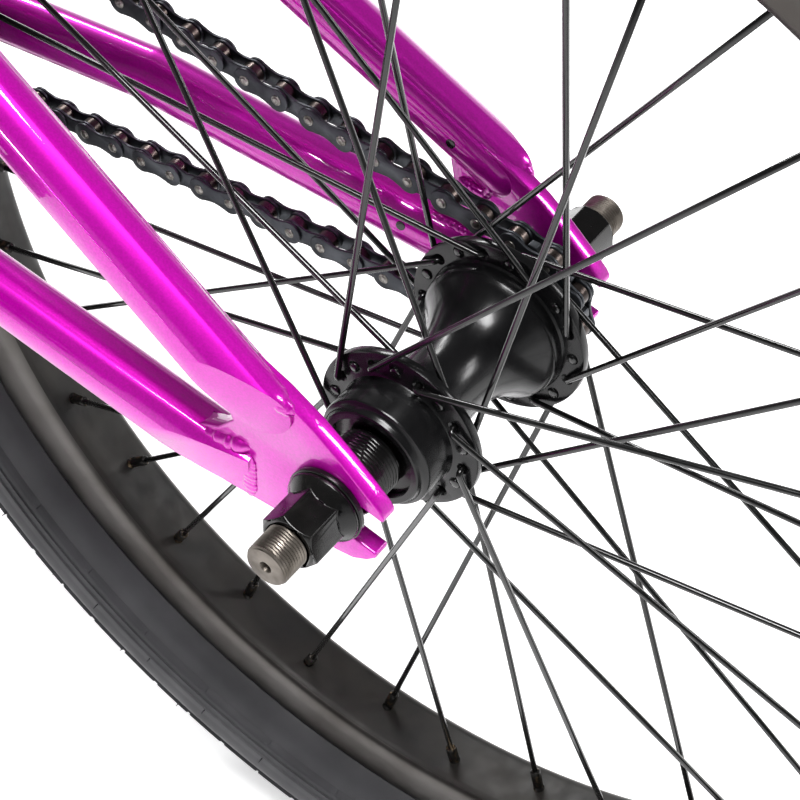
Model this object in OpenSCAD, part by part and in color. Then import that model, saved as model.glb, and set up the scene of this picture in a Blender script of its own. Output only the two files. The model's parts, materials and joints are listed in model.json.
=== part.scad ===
// Twenty inch freestyle BMX bicycle, complete and without brakes.
// X runs forward, Y to the rider's left and Z up; the tyres stand on Z = 0.

/* [Wheels] */
// Distance between the two axles
wheelbase = 930; // [915:1:960]
// Radius of the circle that runs through the middle of the tyre
tyre_core_r = 230.5; // [228:0.5:233]
// Outer radius of the tyre's round section
tyre_section_r = 28.3; // [27:0.1:29]
// Radius of the rim at its flange edges
rim_r = 209; // [208:0.5:210]
// Half of the rim's width
rim_half_w = 13; // [12.5:0.5:14]
// Radius of a spoke
spoke_r = 1; // [0.8:0.1:1]
// Angle at which the rear wheel stands
rear_wheel_angle = 7.9; // [0:0.1:20]
// Angle at which the front wheel stands
front_wheel_angle = 3; // [0:0.1:20]

/* [Rear hub] */
// Half of the distance between the rear dropouts
rear_half_gap = 55; // [55:0.5:56]
// Radius of the rear axle
rear_axle_r = 7; // [6.9:0.1:7]
// How far the rear axle reaches from the middle
rear_axle_half = 90; // [86:1:92]
// Radius of the left rear flange
left_flange_r = 27.3; // [26:0.1:28]
// Radius of the right rear flange
right_flange_r = 30.8; // [30:0.1:32]

/* [Front hub] */
// Half of the distance between the fork dropouts
front_half_gap = 50; // [49:0.5:51]
// Radius of the front axle
front_axle_r = 5; // [4.8:0.1:5]
// How far the front axle reaches from the middle
front_axle_half = 74; // [70:1:78]
// Radius of both front flanges
front_flange_r = 26; // [25:0.5:27]

/* [Drive] */
// Straight distance from the rear axle to the crank axis
chain_stay = 351.1; // [351:0.1:351.3]
// Height of the crank axis above the axles
bb_rise = 36; // [30:1:40]
// Length of a crank arm between its axes
crank_length = 175; // [170:1:178]
// Distance of the chain's middle from the bicycle's middle
chain_line = 43; // [42.8:0.1:43.2]

/* [Frame] */
// Angle of the head tube from level
head_angle = 75; // [74:0.5:75.5]
// Angle of the seat tube from level
seat_angle = 71; // [70:0.5:72]
// Length of the head tube
head_tube_l = 118; // [112:1:120]
// Length of the seat tube, from the crank axis
seat_tube_l = 245; // [240:1:255]
// Outer radius of the stays
stay_r = 9.5; // [9:0.1:9.5]
// Outer radius of the top tube
top_tube_r = 17.5; // [16:0.5:17.5]
// Outer radius of the down tube
down_tube_r = 19; // [17.5:0.5:19.5]
// Wall thickness of the frame tubes
tube_wall = 1; // [0.8:0.1:1.5]
// Thickness of the rear dropouts
dropout_t = 6; // [5:0.5:7]

/* [Steering] */
// Distance of the front axle ahead of the steering axis
fork_offset = 30; // [28:1:32]
// Rise of the handlebar above the stem
bar_rise = 229; // [210:1:240]
// Half of the handlebar's width
bar_half_w = 365; // [350:1:370]
// Radius of the handlebar tube
bar_r = 11.1; // [11:0.1:11.1]
// Reach of the stem from the steering axis to the handlebar
stem_reach = 50; // [48:1:53]

/* [Seat] */
// Height of the saddle's pivot along the seat tube, from the crank axis
saddle_height = 306; // [300:1:330]

/* [Hidden] */

$fn = 48;

paint = [0.85, 0.0, 0.75];
black = [0.08, 0.08, 0.09];
dark_grey = [0.22, 0.22, 0.24];
steel = [0.62, 0.6, 0.58];

tyre_r = tyre_core_r + tyre_section_r;
axle_z = tyre_r;
rear_x = -wheelbase / 2;
front_x = wheelbase / 2;
bb_x = rear_x + sqrt(chain_stay * chain_stay - bb_rise * bb_rise);
bb_z = axle_z + bb_rise;
fit_gap = 0.05;

// ---- general shapes ----

// A round body turned about the Y axis from points of [radius, y]
module turned(points, fn = 64) {
  rotate([-90, 0, 0]) rotate_extrude($fn = fn) polygon(points);
}

// A cylinder along Y between two places
module across(r, y0, y1, fn = 48) {
  translate([0, y0, 0]) rotate([-90, 0, 0]) cylinder(r = r, h = y1 - y0, $fn = fn);
}

// A straight round bar between two points, with a radius at each end
module between(p, q, r1, r2, fn = 48) {
  d = q - p;
  l = norm(d);
  translate(p) rotate([0, acos(d[2] / l), atan2(d[1], d[0])])
    cylinder(r1 = r1, r2 = r2, h = l, $fn = fn);
}

// How much prouder than its bar a round corner or a domed end stands
knuckle = 0.08;

// A bar of one radius along a list of points, with round corners
module bar_along(points, r, fn = 48) {
  for (i = [0 : len(points) - 2]) between(points[i], points[i + 1], r, r, fn);
  for (i = [1 : len(points) - 2]) translate(points[i]) sphere(r = r + knuckle, $fn = fn);
}

// A plate in the XZ plane whose outer face is at y
module plate(y, t) {
  translate([0, y, 0]) rotate([90, 0, 0]) linear_extrude(height = t) children();
}

module both_sides() {
  children();
  mirror([0, 1, 0]) children();
}

joint_lap = 0.6;

// A bar bent at b on its way from a to c, with a true bend of the radius given
module bent_bar(a, b, c, r, bend_r, fn = 48) {
  u = (b - a) / norm(b - a);
  v = (c - b) / norm(c - b);
  turn = acos(u * v);
  n = cross(u, v) / norm(cross(u, v));
  w = cross(n, u);
  back = bend_r * tan(turn / 2);
  start = b - back * u;
  centre = start + bend_r * w;
  between(a, start + joint_lap * u, r, r, fn);
  multmatrix([
    [-w[0], u[0], n[0], centre[0]],
    [-w[1], u[1], n[1], centre[1]],
    [-w[2], u[2], n[2], centre[2]],
    [0, 0, 0, 1]
  ]) rotate_extrude(angle = turn, $fn = 96) translate([bend_r, 0]) circle(r = r + knuckle / 2, $fn = fn);
  between(b + (back - joint_lap) * v, c, r, r, fn);
}

// A hexagon of one width across its flats
module hexagon(across_flats) {
  circle(r = across_flats / sqrt(3), $fn = 6);
}

module at_rear_axle() {
  translate([rear_x, 0, axle_z]) children();
}

module at_crank_axis() {
  translate([bb_x, 0, bb_z]) children();
}

// ---- steering axis: local X is forward of the axis and local Z runs up it ----

steer_x = front_x - fork_offset * sin(head_angle);
steer_z = axle_z - fork_offset * cos(head_angle);
crown_top = 308;
head_low = 311.5;
head_high = head_low + head_tube_l;
steerer_r = 14.3;
cup_depth = 9;
cover_top = head_high + 7;
spacer_top = cover_top + 5;
stem_low = spacer_top;
stem_high = stem_low + 32;
bar_z = (stem_low + stem_high) / 2;

module along_steerer() {
  translate([steer_x, 0, steer_z]) rotate([0, head_angle - 90, 0]) children();
}

function steer_point(h) = [steer_x - h * cos(head_angle), 0, steer_z + h * sin(head_angle)];

// ---- seat tube axis: local Z runs up the tube from the crank axis ----

seat_tube_r = 14.3;
seat_post_r = 12.7;

module along_seat_tube() {
  at_crank_axis() rotate([0, seat_angle - 90, 0]) children();
}

function seat_point(h) = [bb_x - h * cos(seat_angle), 0, bb_z + h * sin(seat_angle)];

// ---- frame ----

head_tube_r = 24.5;
bb_shell_r = 23;
bb_shell_half = 34;
bb_bearing_r = 20.5;
bb_bearing_w = 8;
top_tube_seat = seat_point(209);
top_tube_head = steer_point(408);
down_tube_head = steer_point(344);

module head_tube_body() {
  along_steerer() translate([0, 0, head_low]) cylinder(r = head_tube_r, h = head_tube_l);
}

module seat_tube_body() {
  along_seat_tube() cylinder(r = seat_tube_r, h = seat_tube_l);
}

module bb_shell_body() {
  at_crank_axis() across(bb_shell_r, -bb_shell_half, bb_shell_half);
}

module head_tube() {
  color(paint) along_steerer() difference() {
    translate([0, 0, head_low]) cylinder(r = head_tube_r, h = head_tube_l);
    translate([0, 0, head_low - 1]) cylinder(r = 17, h = head_tube_l + 2);
    for (z = [head_low - 1, head_high - cup_depth])
      translate([0, 0, z]) cylinder(r = 21, h = cup_depth + 1);
  }
}

module top_tube() {
  color(paint) difference() {
    between(top_tube_seat, top_tube_head, top_tube_r, top_tube_r);
    between(top_tube_seat, top_tube_head, top_tube_r - tube_wall, top_tube_r - tube_wall);
    head_tube_body();
    seat_tube_body();
  }
}

module down_tube() {
  foot = [bb_x, 0, bb_z];
  color(paint) difference() {
    between(foot, down_tube_head, down_tube_r, down_tube_r);
    between(foot, down_tube_head, down_tube_r - tube_wall, down_tube_r - tube_wall);
    head_tube_body();
    bb_shell_body();
    seat_tube_body();
  }
}

module seat_tube() {
  color(paint) difference() {
    seat_tube_body();
    along_seat_tube() cylinder(r = seat_post_r + fit_gap, h = seat_tube_l + 1);
    bb_shell_body();
  }
}

module bottom_bracket_shell() {
  color(paint) at_crank_axis() difference() {
    across(bb_shell_r, -bb_shell_half, bb_shell_half);
    across(18.5, -bb_shell_half - 1, bb_shell_half + 1);
    both_sides() across(bb_bearing_r + fit_gap, bb_shell_half - bb_bearing_w, bb_shell_half + 1);
  }
}

// Outline of the left dropout about the axle, with its slot open to the rear
slot_half = rear_axle_r + 0.4;
slot_tilt = 16;
dropout_outline = [
  [-18.2, 0], [-18.6, 4.2], [-17.4, 6.2], [-13, 10.6], [-4.5, 18.6], [4.3, 26],
  [15, 33], [26, 38.5], [34, 38], [38, 31], [36, 20], [33, 13.2], [39, 7],
  [50, 3], [50, -10.5], [38, -15.4], [20, -16.2], [-2, -19.6], [-8, -19.2],
  [-12.6, -17], [-15.8, -14.2], [-16.4, -9]
];

module dropout_shape() {
  difference() {
    polygon(dropout_outline);
    circle(r = slot_half + 0.3);
    rotate(slot_tilt) translate([-40, -slot_half]) square([40, 2 * slot_half]);
  }
}

module dropout_plate() {
  plate(rear_half_gap + dropout_t, dropout_t) dropout_shape();
}

module left_dropout() {
  color(paint) at_rear_axle() dropout_plate();
}

module right_dropout() {
  color(paint) at_rear_axle() mirror([0, 1, 0]) dropout_plate();
}

// Centre lines of the left stays, from the rear axle
stay_y = rear_half_gap + dropout_t / 2;
chain_stay_line = [
  [28, stay_y + 0.4, -7.1], [155, 52, 12.1], [338, 22.3, 35.2]
];
seat_stay_line = [
  [20.8, stay_y + 4.5, 26.8], [215, 44.6, 147.6], [298, 12.5, 198.6]
];

// Cuts a stay flat on its outer side from y0 at its end, rising by an angle along it
module outer_flat(line, back, y0, rise, roll) {
  slope = atan2(line[1][2] - line[0][2], line[1][0] - line[0][0]);
  translate([line[0][0], y0, line[0][2]]) rotate([roll, 0, 0]) rotate([0, -slope, 0])
    translate([-back, 0, 0]) rotate([0, 0, rise]) translate([-30, 0, -30]) cube([110, 30, 60]);
}

module chain_stay() {
  difference() {
    bar_along(chain_stay_line, stay_r);
    dropout_plate();
    outer_flat(chain_stay_line, 0, rear_half_gap + dropout_t + 0.4, 6.3, -10);
  }
}

// A seat stay with a domed end that is slotted over its dropout
module seat_stay() {
  difference() {
    union() {
      bar_along(seat_stay_line, stay_r);
      translate(seat_stay_line[0]) sphere(r = stay_r + knuckle);
    }
    dropout_plate();
    outer_flat(seat_stay_line, stay_r, rear_half_gap + dropout_t + 0.6, 14.6, 0);
  }
}

module chain_stays() {
  color(paint) difference() {
    at_rear_axle() both_sides() chain_stay();
    bb_shell_body();
  }
}

module seat_stays() {
  color(paint) difference() {
    at_rear_axle() both_sides() seat_stay();
    seat_tube_body();
  }
}

clamp_low = seat_tube_l - 13;
clamp_lug_x = -21;

module seat_clamp() {
  color(black) along_seat_tube() translate([0, 0, clamp_low]) difference() {
    union() {
      cylinder(r = seat_tube_r + 3.7, h = 13);
      translate([clamp_lug_x - 5, -9, 0]) cube([14, 18, 13]);
    }
    translate([0, 0, -1]) cylinder(r = seat_tube_r + fit_gap, h = 15);
    translate([clamp_lug_x - 6, -1, -1]) cube([12, 2, 15]);
    translate([clamp_lug_x, 0, 6.5]) across(2.6, -12, 12);
  }
}

module seat_clamp_bolt() {
  color(dark_grey) along_seat_tube() translate([clamp_lug_x, 0, clamp_low + 6.5]) {
    across(2.5, -9, 9.3);
    difference() {
      across(4.2, 9.1, 14);
      translate([0, 20, 0]) rotate([90, 0, 0]) linear_extrude(height = 9) hexagon(4);
    }
  }
}

module headset_bearings() {
  color(steel) along_steerer() for (z = [head_low + 0.3, head_high - 8.3])
    translate([0, 0, z]) difference() {
      cylinder(r = 20.9, h = 8);
      translate([0, 0, -1]) cylinder(r = steerer_r + fit_gap, h = 10);
    }
}

spindle_r = 11;

module bottom_bracket_bearings() {
  color(steel) at_crank_axis() both_sides() difference() {
    across(bb_bearing_r, bb_shell_half - bb_bearing_w + 0.1, bb_shell_half);
    across(spindle_r + fit_gap, bb_shell_half - bb_bearing_w - 1, bb_shell_half + 1);
  }
}

// ---- chain and its wheels, in a frame whose X runs from the rear axle to the crank ----

pitch = 12.7;
sprocket_teeth = 24;
driver_teeth = 9;
link_count = 72;
roller_r = 3.85;
function pitch_radius(teeth) = pitch / (2 * sin(180 / teeth));
sprocket_r = pitch_radius(sprocket_teeth);
driver_r = pitch_radius(driver_teeth);
drive_slope = asin(bb_rise / chain_stay);
run_angle = asin((sprocket_r - driver_r) / chain_stay);
driver_pitches = (180 - 2 * run_angle) / (360 / driver_teeth);
sprocket_pitches = (180 + 2 * run_angle) / (360 / sprocket_teeth);
run_pitches = (link_count - driver_pitches - sprocket_pitches) / 2;
chain_offset = 0.319;

function on_circle(r, angle) = [r * cos(angle), r * sin(angle)];
function on_sprocket(angle) = [chain_stay, 0] + on_circle(sprocket_r, angle);

// Place of the chain's line, s pitches on from the top of the driver
function chain_place(s) =
  s < driver_pitches
    ? on_circle(driver_r, 90 + run_angle + s * 360 / driver_teeth)
  : s < driver_pitches + run_pitches
    ? let (t = (s - driver_pitches) / run_pitches)
      (1 - t) * on_circle(driver_r, 270 - run_angle) + t * on_sprocket(270 - run_angle)
  : s < driver_pitches + run_pitches + sprocket_pitches
    ? on_sprocket(270 - run_angle
        + (s - driver_pitches - run_pitches) * 360 / sprocket_teeth)
  : let (t = (s - driver_pitches - run_pitches - sprocket_pitches) / run_pitches)
    (1 - t) * on_sprocket(90 + run_angle) + t * on_circle(driver_r, 90 + run_angle);

function pin_place(i) = chain_place((i % link_count) + chain_offset);

// Turn into the drive's frame, with Y at the middle of the chain
module along_chain_line() {
  at_rear_axle() translate([0, -chain_line, 0]) rotate([0, -drive_slope, 0]) children();
}

// Put a link between pins i and i + 1
module link_at(i) {
  a = pin_place(i);
  b = pin_place(i + 1);
  translate([a[0], 0, a[1]]) rotate([0, -atan2(b[1] - a[1], b[0] - a[0]), 0]) children();
}

module side_plate(y0, t, hole_r) {
  plate(y0 + t, t) difference() {
    union() {
      for (x = [0, pitch]) translate([x, 0]) circle(r = 4.2, $fn = 24);
      translate([0, -3]) square([pitch, 6]);
    }
    if (hole_r > 0) for (x = [0, pitch]) translate([x, 0]) circle(r = hole_r, $fn = 24);
  }
}

module inner_link() {
  both_sides() side_plate(1.65, 1, 2.1);
  for (x = [0, pitch]) translate([x, 0, 0]) difference() {
    across(roller_r, -1.65, 1.65, 24);
    across(2.1, -2, 2, 24);
  }
}

module outer_link() {
  both_sides() side_plate(2.8, 1, 0);
  for (x = [0, pitch]) translate([x, 0, 0]) across(1.85, -4.4, 4.4, 24);
}

module chain_inner_links() {
  color(dark_grey) along_chain_line() for (i = [0 : 2 : link_count - 1]) link_at(i) inner_link();
}

module chain_outer_links() {
  color(dark_grey) along_chain_line() for (i = [1 : 2 : link_count - 1]) link_at(i) outer_link();
}

// Height of a tooth above the pitch circle, and radius of the gap that a roller sits in
tooth_rise = 2.5;
gap_r = roller_r + 0.35;

// Flat outline of a toothed wheel; a roller sits in the gap at the angle first
module toothed_disc(teeth, first) {
  r = pitch_radius(teeth);
  difference() {
    circle(r = r + tooth_rise, $fn = 96);
    for (i = [0 : teeth - 1]) rotate(first + i * 360 / teeth) {
      translate([r, 0]) circle(r = gap_r, $fn = 24);
      polygon([[r, -gap_r], [r + 7, -11], [r + 7, 11], [r, gap_r]]);
    }
  }
}

disc_half_t = 1.45;

module rear_driver() {
  color(dark_grey) along_chain_line() difference() {
    union() {
      plate(disc_half_t, 2 * disc_half_t)
        toothed_disc(driver_teeth, 90 + run_angle + chain_offset * 360 / driver_teeth);
      turned([
        [0, -3.5], [12.6, -3.5], [13.4, -2.7], [13.4, 12.4], [0, 12.4]
      ]);
    }
    across(rear_axle_r + fit_gap, -20, 20);
  }
}

module sprocket() {
  first = 270 - run_angle
    + (chain_offset - driver_pitches - run_pitches) * 360 / sprocket_teeth;
  color(black) along_chain_line() translate([chain_stay, 0, 0]) difference() {
    plate(disc_half_t, 2 * disc_half_t) difference() {
      toothed_disc(sprocket_teeth, first);
      circle(r = spindle_r + fit_gap);
      for (i = [0 : 4]) rotate(i * 72 + 36) translate([31, 0]) circle(r = 7.5);
      for (i = [0 : 4]) rotate(i * 72) translate([33.5, 0]) circle(r = 3.2, $fn = 24);
    }
    rotate([0, drive_slope, 0]) translate([sprocket_bolt_x, 0, 0]) across(3.55, -9, 9);
  }
}

// ---- rear axle and hub ----

left_end_y = 41.3;
hub_right_y = -30.1;
cone_in_y = 40;

rear_nut_h = 17;

module rear_axle() {
  chamfer = 1;
  relief_r = rear_axle_r - 0.3;
  relief_out = rear_nut_seat + rear_nut_h + 0.3;
  relief_in = relief_out - 0.9;
  color(steel) at_rear_axle() difference() {
    turned([
      [0, -rear_axle_half], [rear_axle_r - chamfer, -rear_axle_half],
      [rear_axle_r, -rear_axle_half + chamfer], [rear_axle_r, -relief_out],
      [relief_r, -relief_out], [relief_r, -relief_in], [rear_axle_r, -relief_in],
      [rear_axle_r, relief_in], [relief_r, relief_in], [relief_r, relief_out],
      [rear_axle_r, relief_out], [rear_axle_r, rear_axle_half - chamfer],
      [rear_axle_r - chamfer, rear_axle_half], [0, rear_axle_half]
    ]);
    both_sides() across(1.6, rear_axle_half - 6, rear_axle_half + 1, 24);
  }
}

nut_turn = 19;

// A flange nut of height h whose seat is at y0, on an axle of radius r
module axle_nut(y0, h, flat, r, flange_r) {
  difference() {
    union() {
      turned([
        [0, y0], [flange_r, y0], [flange_r, y0 + 1.2],
        [flat / 2 + 0.2, y0 + 4.8], [0, y0 + 4.8]
      ]);
      intersection() {
        plate(y0 + h, h - 2) rotate(nut_turn) hexagon(flat);
        turned([
          [0, y0 + 1], [flat, y0 + 1], [flat / 2 + 1.4, y0 + h - 1.2],
          [flat / 2 - 0.2, y0 + h], [0, y0 + h]
        ]);
      }
    }
    across(r + fit_gap, y0 - 1, y0 + h + 1);
  }
}

module axle_washer(y0, t, r_out, r) {
  difference() {
    across(r_out, y0, y0 + t);
    across(r + 0.1, y0 - 1, y0 + t + 1);
  }
}

rear_washer_t = 2;
front_nut_seat = front_half_gap + 6;
rear_nut_seat = rear_half_gap + dropout_t + rear_washer_t;

module rear_axle_nuts() {
  color(black) at_rear_axle() both_sides() axle_nut(rear_nut_seat, rear_nut_h, 17, rear_axle_r, 12);
}

module rear_axle_washers() {
  color(dark_grey) at_rear_axle() both_sides()
    axle_washer(rear_half_gap + dropout_t, rear_washer_t, 12.5, rear_axle_r);
}

// Stack of cone, spacer and locknut from y0 out to y1
module cone_stack(y0, y1, r, axle_r) {
  difference() {
    turned([
      [0, y0], [r - 1.6, y0], [r - 1.2, y0 + 1.6], [r - 1.2, y1 - 10.5],
      [r, y1 - 10.2], [r, y1 - 6], [r - 0.8, y1 - 5.8], [r - 0.8, y1 - 5.2],
      [r, y1 - 5], [r, y1 - 0.6], [r - 0.6, y1], [0, y1]
    ]);
    across(axle_r + fit_gap, y0 - 1, y1 + 1);
  }
}

module rear_axle_cones() {
  right_in_y = chain_line + 4.2;
  color(black) at_rear_axle() {
    cone_stack(cone_in_y, rear_half_gap, 10.5, rear_axle_r);
    mirror([0, 1, 0]) difference() {
      turned([
        [0, right_in_y], [9, right_in_y], [10.5, right_in_y + 1.5],
        [10.5, rear_half_gap], [0, rear_half_gap]
      ]);
      across(rear_axle_r + fit_gap, right_in_y - 1, rear_half_gap + 1);
    }
  }
}

rear_left_hole_r = 22.6;
rear_right_hole_r = 26.8;
front_hole_r = 22.3;
spokes_per_side = 18;
spoke_step = 360 / spokes_per_side;
spoke_hole_r = spoke_r + 0.3;
flange_t = 3.4;
rear_left_face = 27;
rear_right_face = 28.6;
front_face = 35;

function spoke_angle(i, left) = i * spoke_step + (left ? 0 : spoke_step / 2);

module flange_holes(face, hole_r, left) {
  for (i = [0 : spokes_per_side - 1]) rotate([0, -spoke_angle(i, left), 0])
    translate([hole_r, 0, 0]) across(spoke_hole_r, face - flange_t - 0.5, face + 0.5, 16);
}

module rear_hub() {
  l = rear_left_face;
  k = rear_right_face;
  color(black) at_rear_axle() rotate([0, -rear_wheel_angle, 0]) difference() {
    turned([
      [0, left_end_y], [16.4, left_end_y], [16.9, left_end_y - 1.4],
      [17.4, left_end_y - 3], [18.8, left_end_y - 5], [18.8, l + 0.8],
      [20, l], [left_flange_r - 0.6, l], [left_flange_r, l - 0.8],
      [left_flange_r, l - flange_t + 0.8], [left_flange_r - 0.8, l - flange_t],
      [19, l - flange_t], [17, 20], [14.6, 15], [13.5, 8], [13.5, 0],
      [14.4, -6], [17.5, -13], [22, -19], [23.6, -20.6],
      [23.6, -k + flange_t], [right_flange_r - 0.8, -k + flange_t],
      [right_flange_r, -k + flange_t - 0.8], [right_flange_r, -k + 0.8],
      [right_flange_r - 0.8, -k], [17, -k], [16, hub_right_y], [0, hub_right_y]
    ], 96);
    across(10.5, hub_right_y - 1, left_end_y + 1);
    across(14, 32, left_end_y + 1);
    across(14, hub_right_y - 1, -20);
    flange_holes(l, rear_left_hole_r, true);
    mirror([0, 1, 0]) flange_holes(k, rear_right_hole_r, false);
  }
}

module rear_hub_bearings() {
  color(steel) at_rear_axle() for (y = [32.1, -27.2]) difference() {
    across(13.95, y, y + 7);
    across(rear_axle_r + fit_gap, y - 1, y + 8);
  }
}

// ---- front axle and hub ----

module at_front_axle() {
  along_steerer() translate([fork_offset, 0, 0]) children();
}

module front_axle() {
  chamfer = 0.8;
  color(steel) at_front_axle() turned([
    [0, -front_axle_half], [front_axle_r - chamfer, -front_axle_half],
    [front_axle_r, -front_axle_half + chamfer], [front_axle_r, front_axle_half - chamfer],
    [front_axle_r - chamfer, front_axle_half], [0, front_axle_half]
  ]);
}

module front_axle_nuts() {
  color(black) at_front_axle() both_sides() axle_nut(front_nut_seat, 14, 15, front_axle_r, 10.5);
}

module front_axle_cones() {
  color(black) at_front_axle() both_sides()
    cone_stack(36.5, front_half_gap, 8.5, front_axle_r);
}

module front_hub() {
  f = front_face;
  half = [
    [15, f + 4.5], [15.8, f + 3.6], [15.8, f + 0.6], [17, f],
    [front_flange_r - 0.6, f], [front_flange_r, f - 0.8],
    [front_flange_r, f - flange_t + 0.8], [front_flange_r - 0.8, f - flange_t],
    [17.5, f - flange_t], [15, f - 7], [13, f - 14], [12.4, f - 22]
  ];
  other = [for (i = [len(half) - 1 : -1 : 0]) [half[i][0], -half[i][1]]];
  color(black) at_front_axle() rotate([0, -front_wheel_angle, 0]) difference() {
    turned(concat([[0, f + 4.5]], half, other, [[0, -f - 4.5]]), 96);
    across(9, -f - 6, f + 6);
    across(front_axle_r + fit_gap, -f, f);
    both_sides() across(11, f - 1, f + 6);
    flange_holes(f, front_hole_r, true);
    mirror([0, 1, 0]) flange_holes(f, front_hole_r, false);
  }
}

// ---- rims, tyres and tubes ----

bed_r = 190;
bed_t = 1.6;
bridge_r = 202;
rim_wall = 1.7;
spoke_end_r = bed_r + bed_t + 1;
nipple_r = 2;
rim_spread = 2;

module rim() {
  w = rim_half_w;
  inner_w = w - rim_wall;
  difference() {
    turned([
      [bed_r, w - 3], [bed_r + 3, w], [rim_r, w], [rim_r, inner_w], [bridge_r, inner_w],
      [bridge_r, -inner_w], [rim_r, -inner_w], [rim_r, -w], [bed_r + 3, -w], [bed_r, 3 - w]
    ], 96);
    turned([
      [bed_r + bed_t, inner_w - 2.5], [bed_r + bed_t + 2.5, inner_w],
      [bridge_r - bed_t, inner_w], [bridge_r - bed_t, -inner_w],
      [bed_r + bed_t + 2.5, -inner_w], [bed_r + bed_t, 2.5 - inner_w]
    ], 96);
    for (i = [0 : 2 * spokes_per_side - 1]) rotate([0, -i * spoke_step / 2, 0]) {
      y = i % 2 == 0 ? rim_spread : -rim_spread;
      translate([bed_r - 2, y, 0]) rotate([0, 90, 0]) cylinder(r = nipple_r + 0.65, h = 6, $fn = 24);
      translate([bridge_r - 4, y, 0]) rotate([0, 90, 0]) cylinder(r = 4.2, h = 6, $fn = 24);
    }
    rotate([0, -valve_angle, 0]) translate([bed_r - 2, 0, 0]) rotate([0, 90, 0])
      cylinder(r = valve_r + 0.3, h = 14, $fn = 24);
  }
}

valve_angle = 85;
valve_r = 3.9;
tyre_wall = 3;
bead_y = rim_half_w - rim_wall - 0.2;
shoulder_angle = 130;
lining_angle = 140;

function section_point(r, angle) = [tyre_core_r + r * cos(angle), r * sin(angle)];

module tyre() {
  outer = [for (i = [-20 : 20]) section_point(tyre_section_r, shoulder_angle * i / 20)];
  inner = [for (i = [20 : -1 : -20])
    section_point(tyre_section_r - tyre_wall, lining_angle * i / 20)];
  bead = [
    [rim_r + 1.6, rim_half_w + 1.6], [rim_r + 0.3, rim_half_w], [rim_r + 0.3, bead_y],
    [bridge_r + 1, bead_y], [bridge_r + 1, bead_y - 3.6], [bridge_r + 6, bead_y - 2.6]
  ];
  far_bead = [for (i = [len(bead) - 1 : -1 : 0]) [bead[i][0], -bead[i][1]]];
  turned(concat(outer, bead, inner, far_bead), 180);
}

module inner_tube() {
  r = 23.5;
  difference() {
    union() {
      rotate([-90, 0, 0]) rotate_extrude($fn = 180) translate([tyre_core_r, 0]) circle(r = r);
      rotate([0, -valve_angle, 0]) translate([bed_r - 21, 0, 0]) rotate([0, 90, 0]) {
        cylinder(r = valve_r, h = 40, $fn = 24);
        translate([0, 0, -1]) cylinder(r = valve_r - 0.5, h = 2, $fn = 24);
      }
    }
    rotate([-90, 0, 0]) rotate_extrude($fn = 180) translate([tyre_core_r, 0]) circle(r = r - 1.2);
  }
}

// ---- spokes and nipples, crossed three times ----

crossing_angle = 60;
elbow_rise = 2.4;
elbow_r = spoke_r + 0.1;

// Sign of the way in which a spoke leans
function lean(i, left) = (i % 2 == 0) == left ? -1 : 1;
function polar(r, angle, y) = [r * cos(angle), y, r * sin(angle)];
function rim_point(i, left) =
  polar(spoke_end_r, spoke_angle(i, left) + crossing_angle * lean(i, left),
    left ? rim_spread : -rim_spread);
function is_outside(i, left) = lean(i, left) > 0;
function elbow_y(i, face, left) =
  is_outside(i, left) ? face + elbow_rise : face - flange_t - spoke_r - 0.15;
function hub_point(i, face, hole_r, left) =
  polar(hole_r, spoke_angle(i, left), (left ? 1 : -1) * elbow_y(i, face, left));

module spoke_and_head(i, face, hole_r, left) {
  p = hub_point(i, face, hole_r, left);
  side = left ? 1 : -1;
  out = is_outside(i, left);
  head_y = out ? face - flange_t - 1.2 : face + 0.1;
  far_y = out ? head_y : face + 1;
  between(p, rim_point(i, left), spoke_r, spoke_r, 16);
  translate([p[0], 0, p[2]]) to_side(side)
    across(elbow_r, min(far_y, abs(p[1]) - elbow_r), max(far_y, abs(p[1]) + elbow_r), 16);
  translate([p[0], 0, p[2]]) to_side(side) across(2.2, head_y, head_y + 1.1, 16);
}

module to_side(side) {
  if (side < 0) mirror([0, 1, 0]) children();
  else children();
}

module spokes(left_face, left_hole_r, right_face, right_hole_r) {
  for (i = [0 : spokes_per_side - 1]) {
    spoke_and_head(i, left_face, left_hole_r, true);
    spoke_and_head(i, right_face, right_hole_r, false);
  }
}

// A nipple at the outer end of one spoke
module nipple_at(p, q) {
  towards = (p - q) / norm(p - q);
  difference() {
    union() {
      between(q, q + 11 * towards, nipple_r, nipple_r, 20);
      between(q - 2.2 * towards, q + 0.3 * towards, 3, 3, 20);
    }
    between(q - 3 * towards, q + 12 * towards, spoke_r + fit_gap, spoke_r + fit_gap, 16);
  }
}

module nipples(left_face, left_hole_r, right_face, right_hole_r) {
  for (i = [0 : spokes_per_side - 1]) {
    nipple_at(hub_point(i, left_face, left_hole_r, true), rim_point(i, true));
    nipple_at(hub_point(i, right_face, right_hole_r, false), rim_point(i, false));
  }
}

module in_rear_wheel() {
  at_rear_axle() rotate([0, -rear_wheel_angle, 0]) children();
}

module in_front_wheel() {
  at_front_axle() rotate([0, -front_wheel_angle, 0]) children();
}

module rear_rim() {
  color(black) in_rear_wheel() rim();
}

module rear_tyre() {
  color(dark_grey) in_rear_wheel() tyre();
}

module rear_inner_tube() {
  color(black) in_rear_wheel() inner_tube();
}

module rear_spokes() {
  color(black) in_rear_wheel()
    spokes(rear_left_face, rear_left_hole_r, rear_right_face, rear_right_hole_r);
}

module rear_nipples() {
  color(dark_grey) in_rear_wheel()
    nipples(rear_left_face, rear_left_hole_r, rear_right_face, rear_right_hole_r);
}

module front_rim() {
  color(black) in_front_wheel() rim();
}

module front_tyre() {
  color(dark_grey) in_front_wheel() tyre();
}

module front_inner_tube() {
  color(black) in_front_wheel() inner_tube();
}

module front_spokes() {
  color(black) in_front_wheel() spokes(front_face, front_hole_r, front_face, front_hole_r);
}

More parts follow.
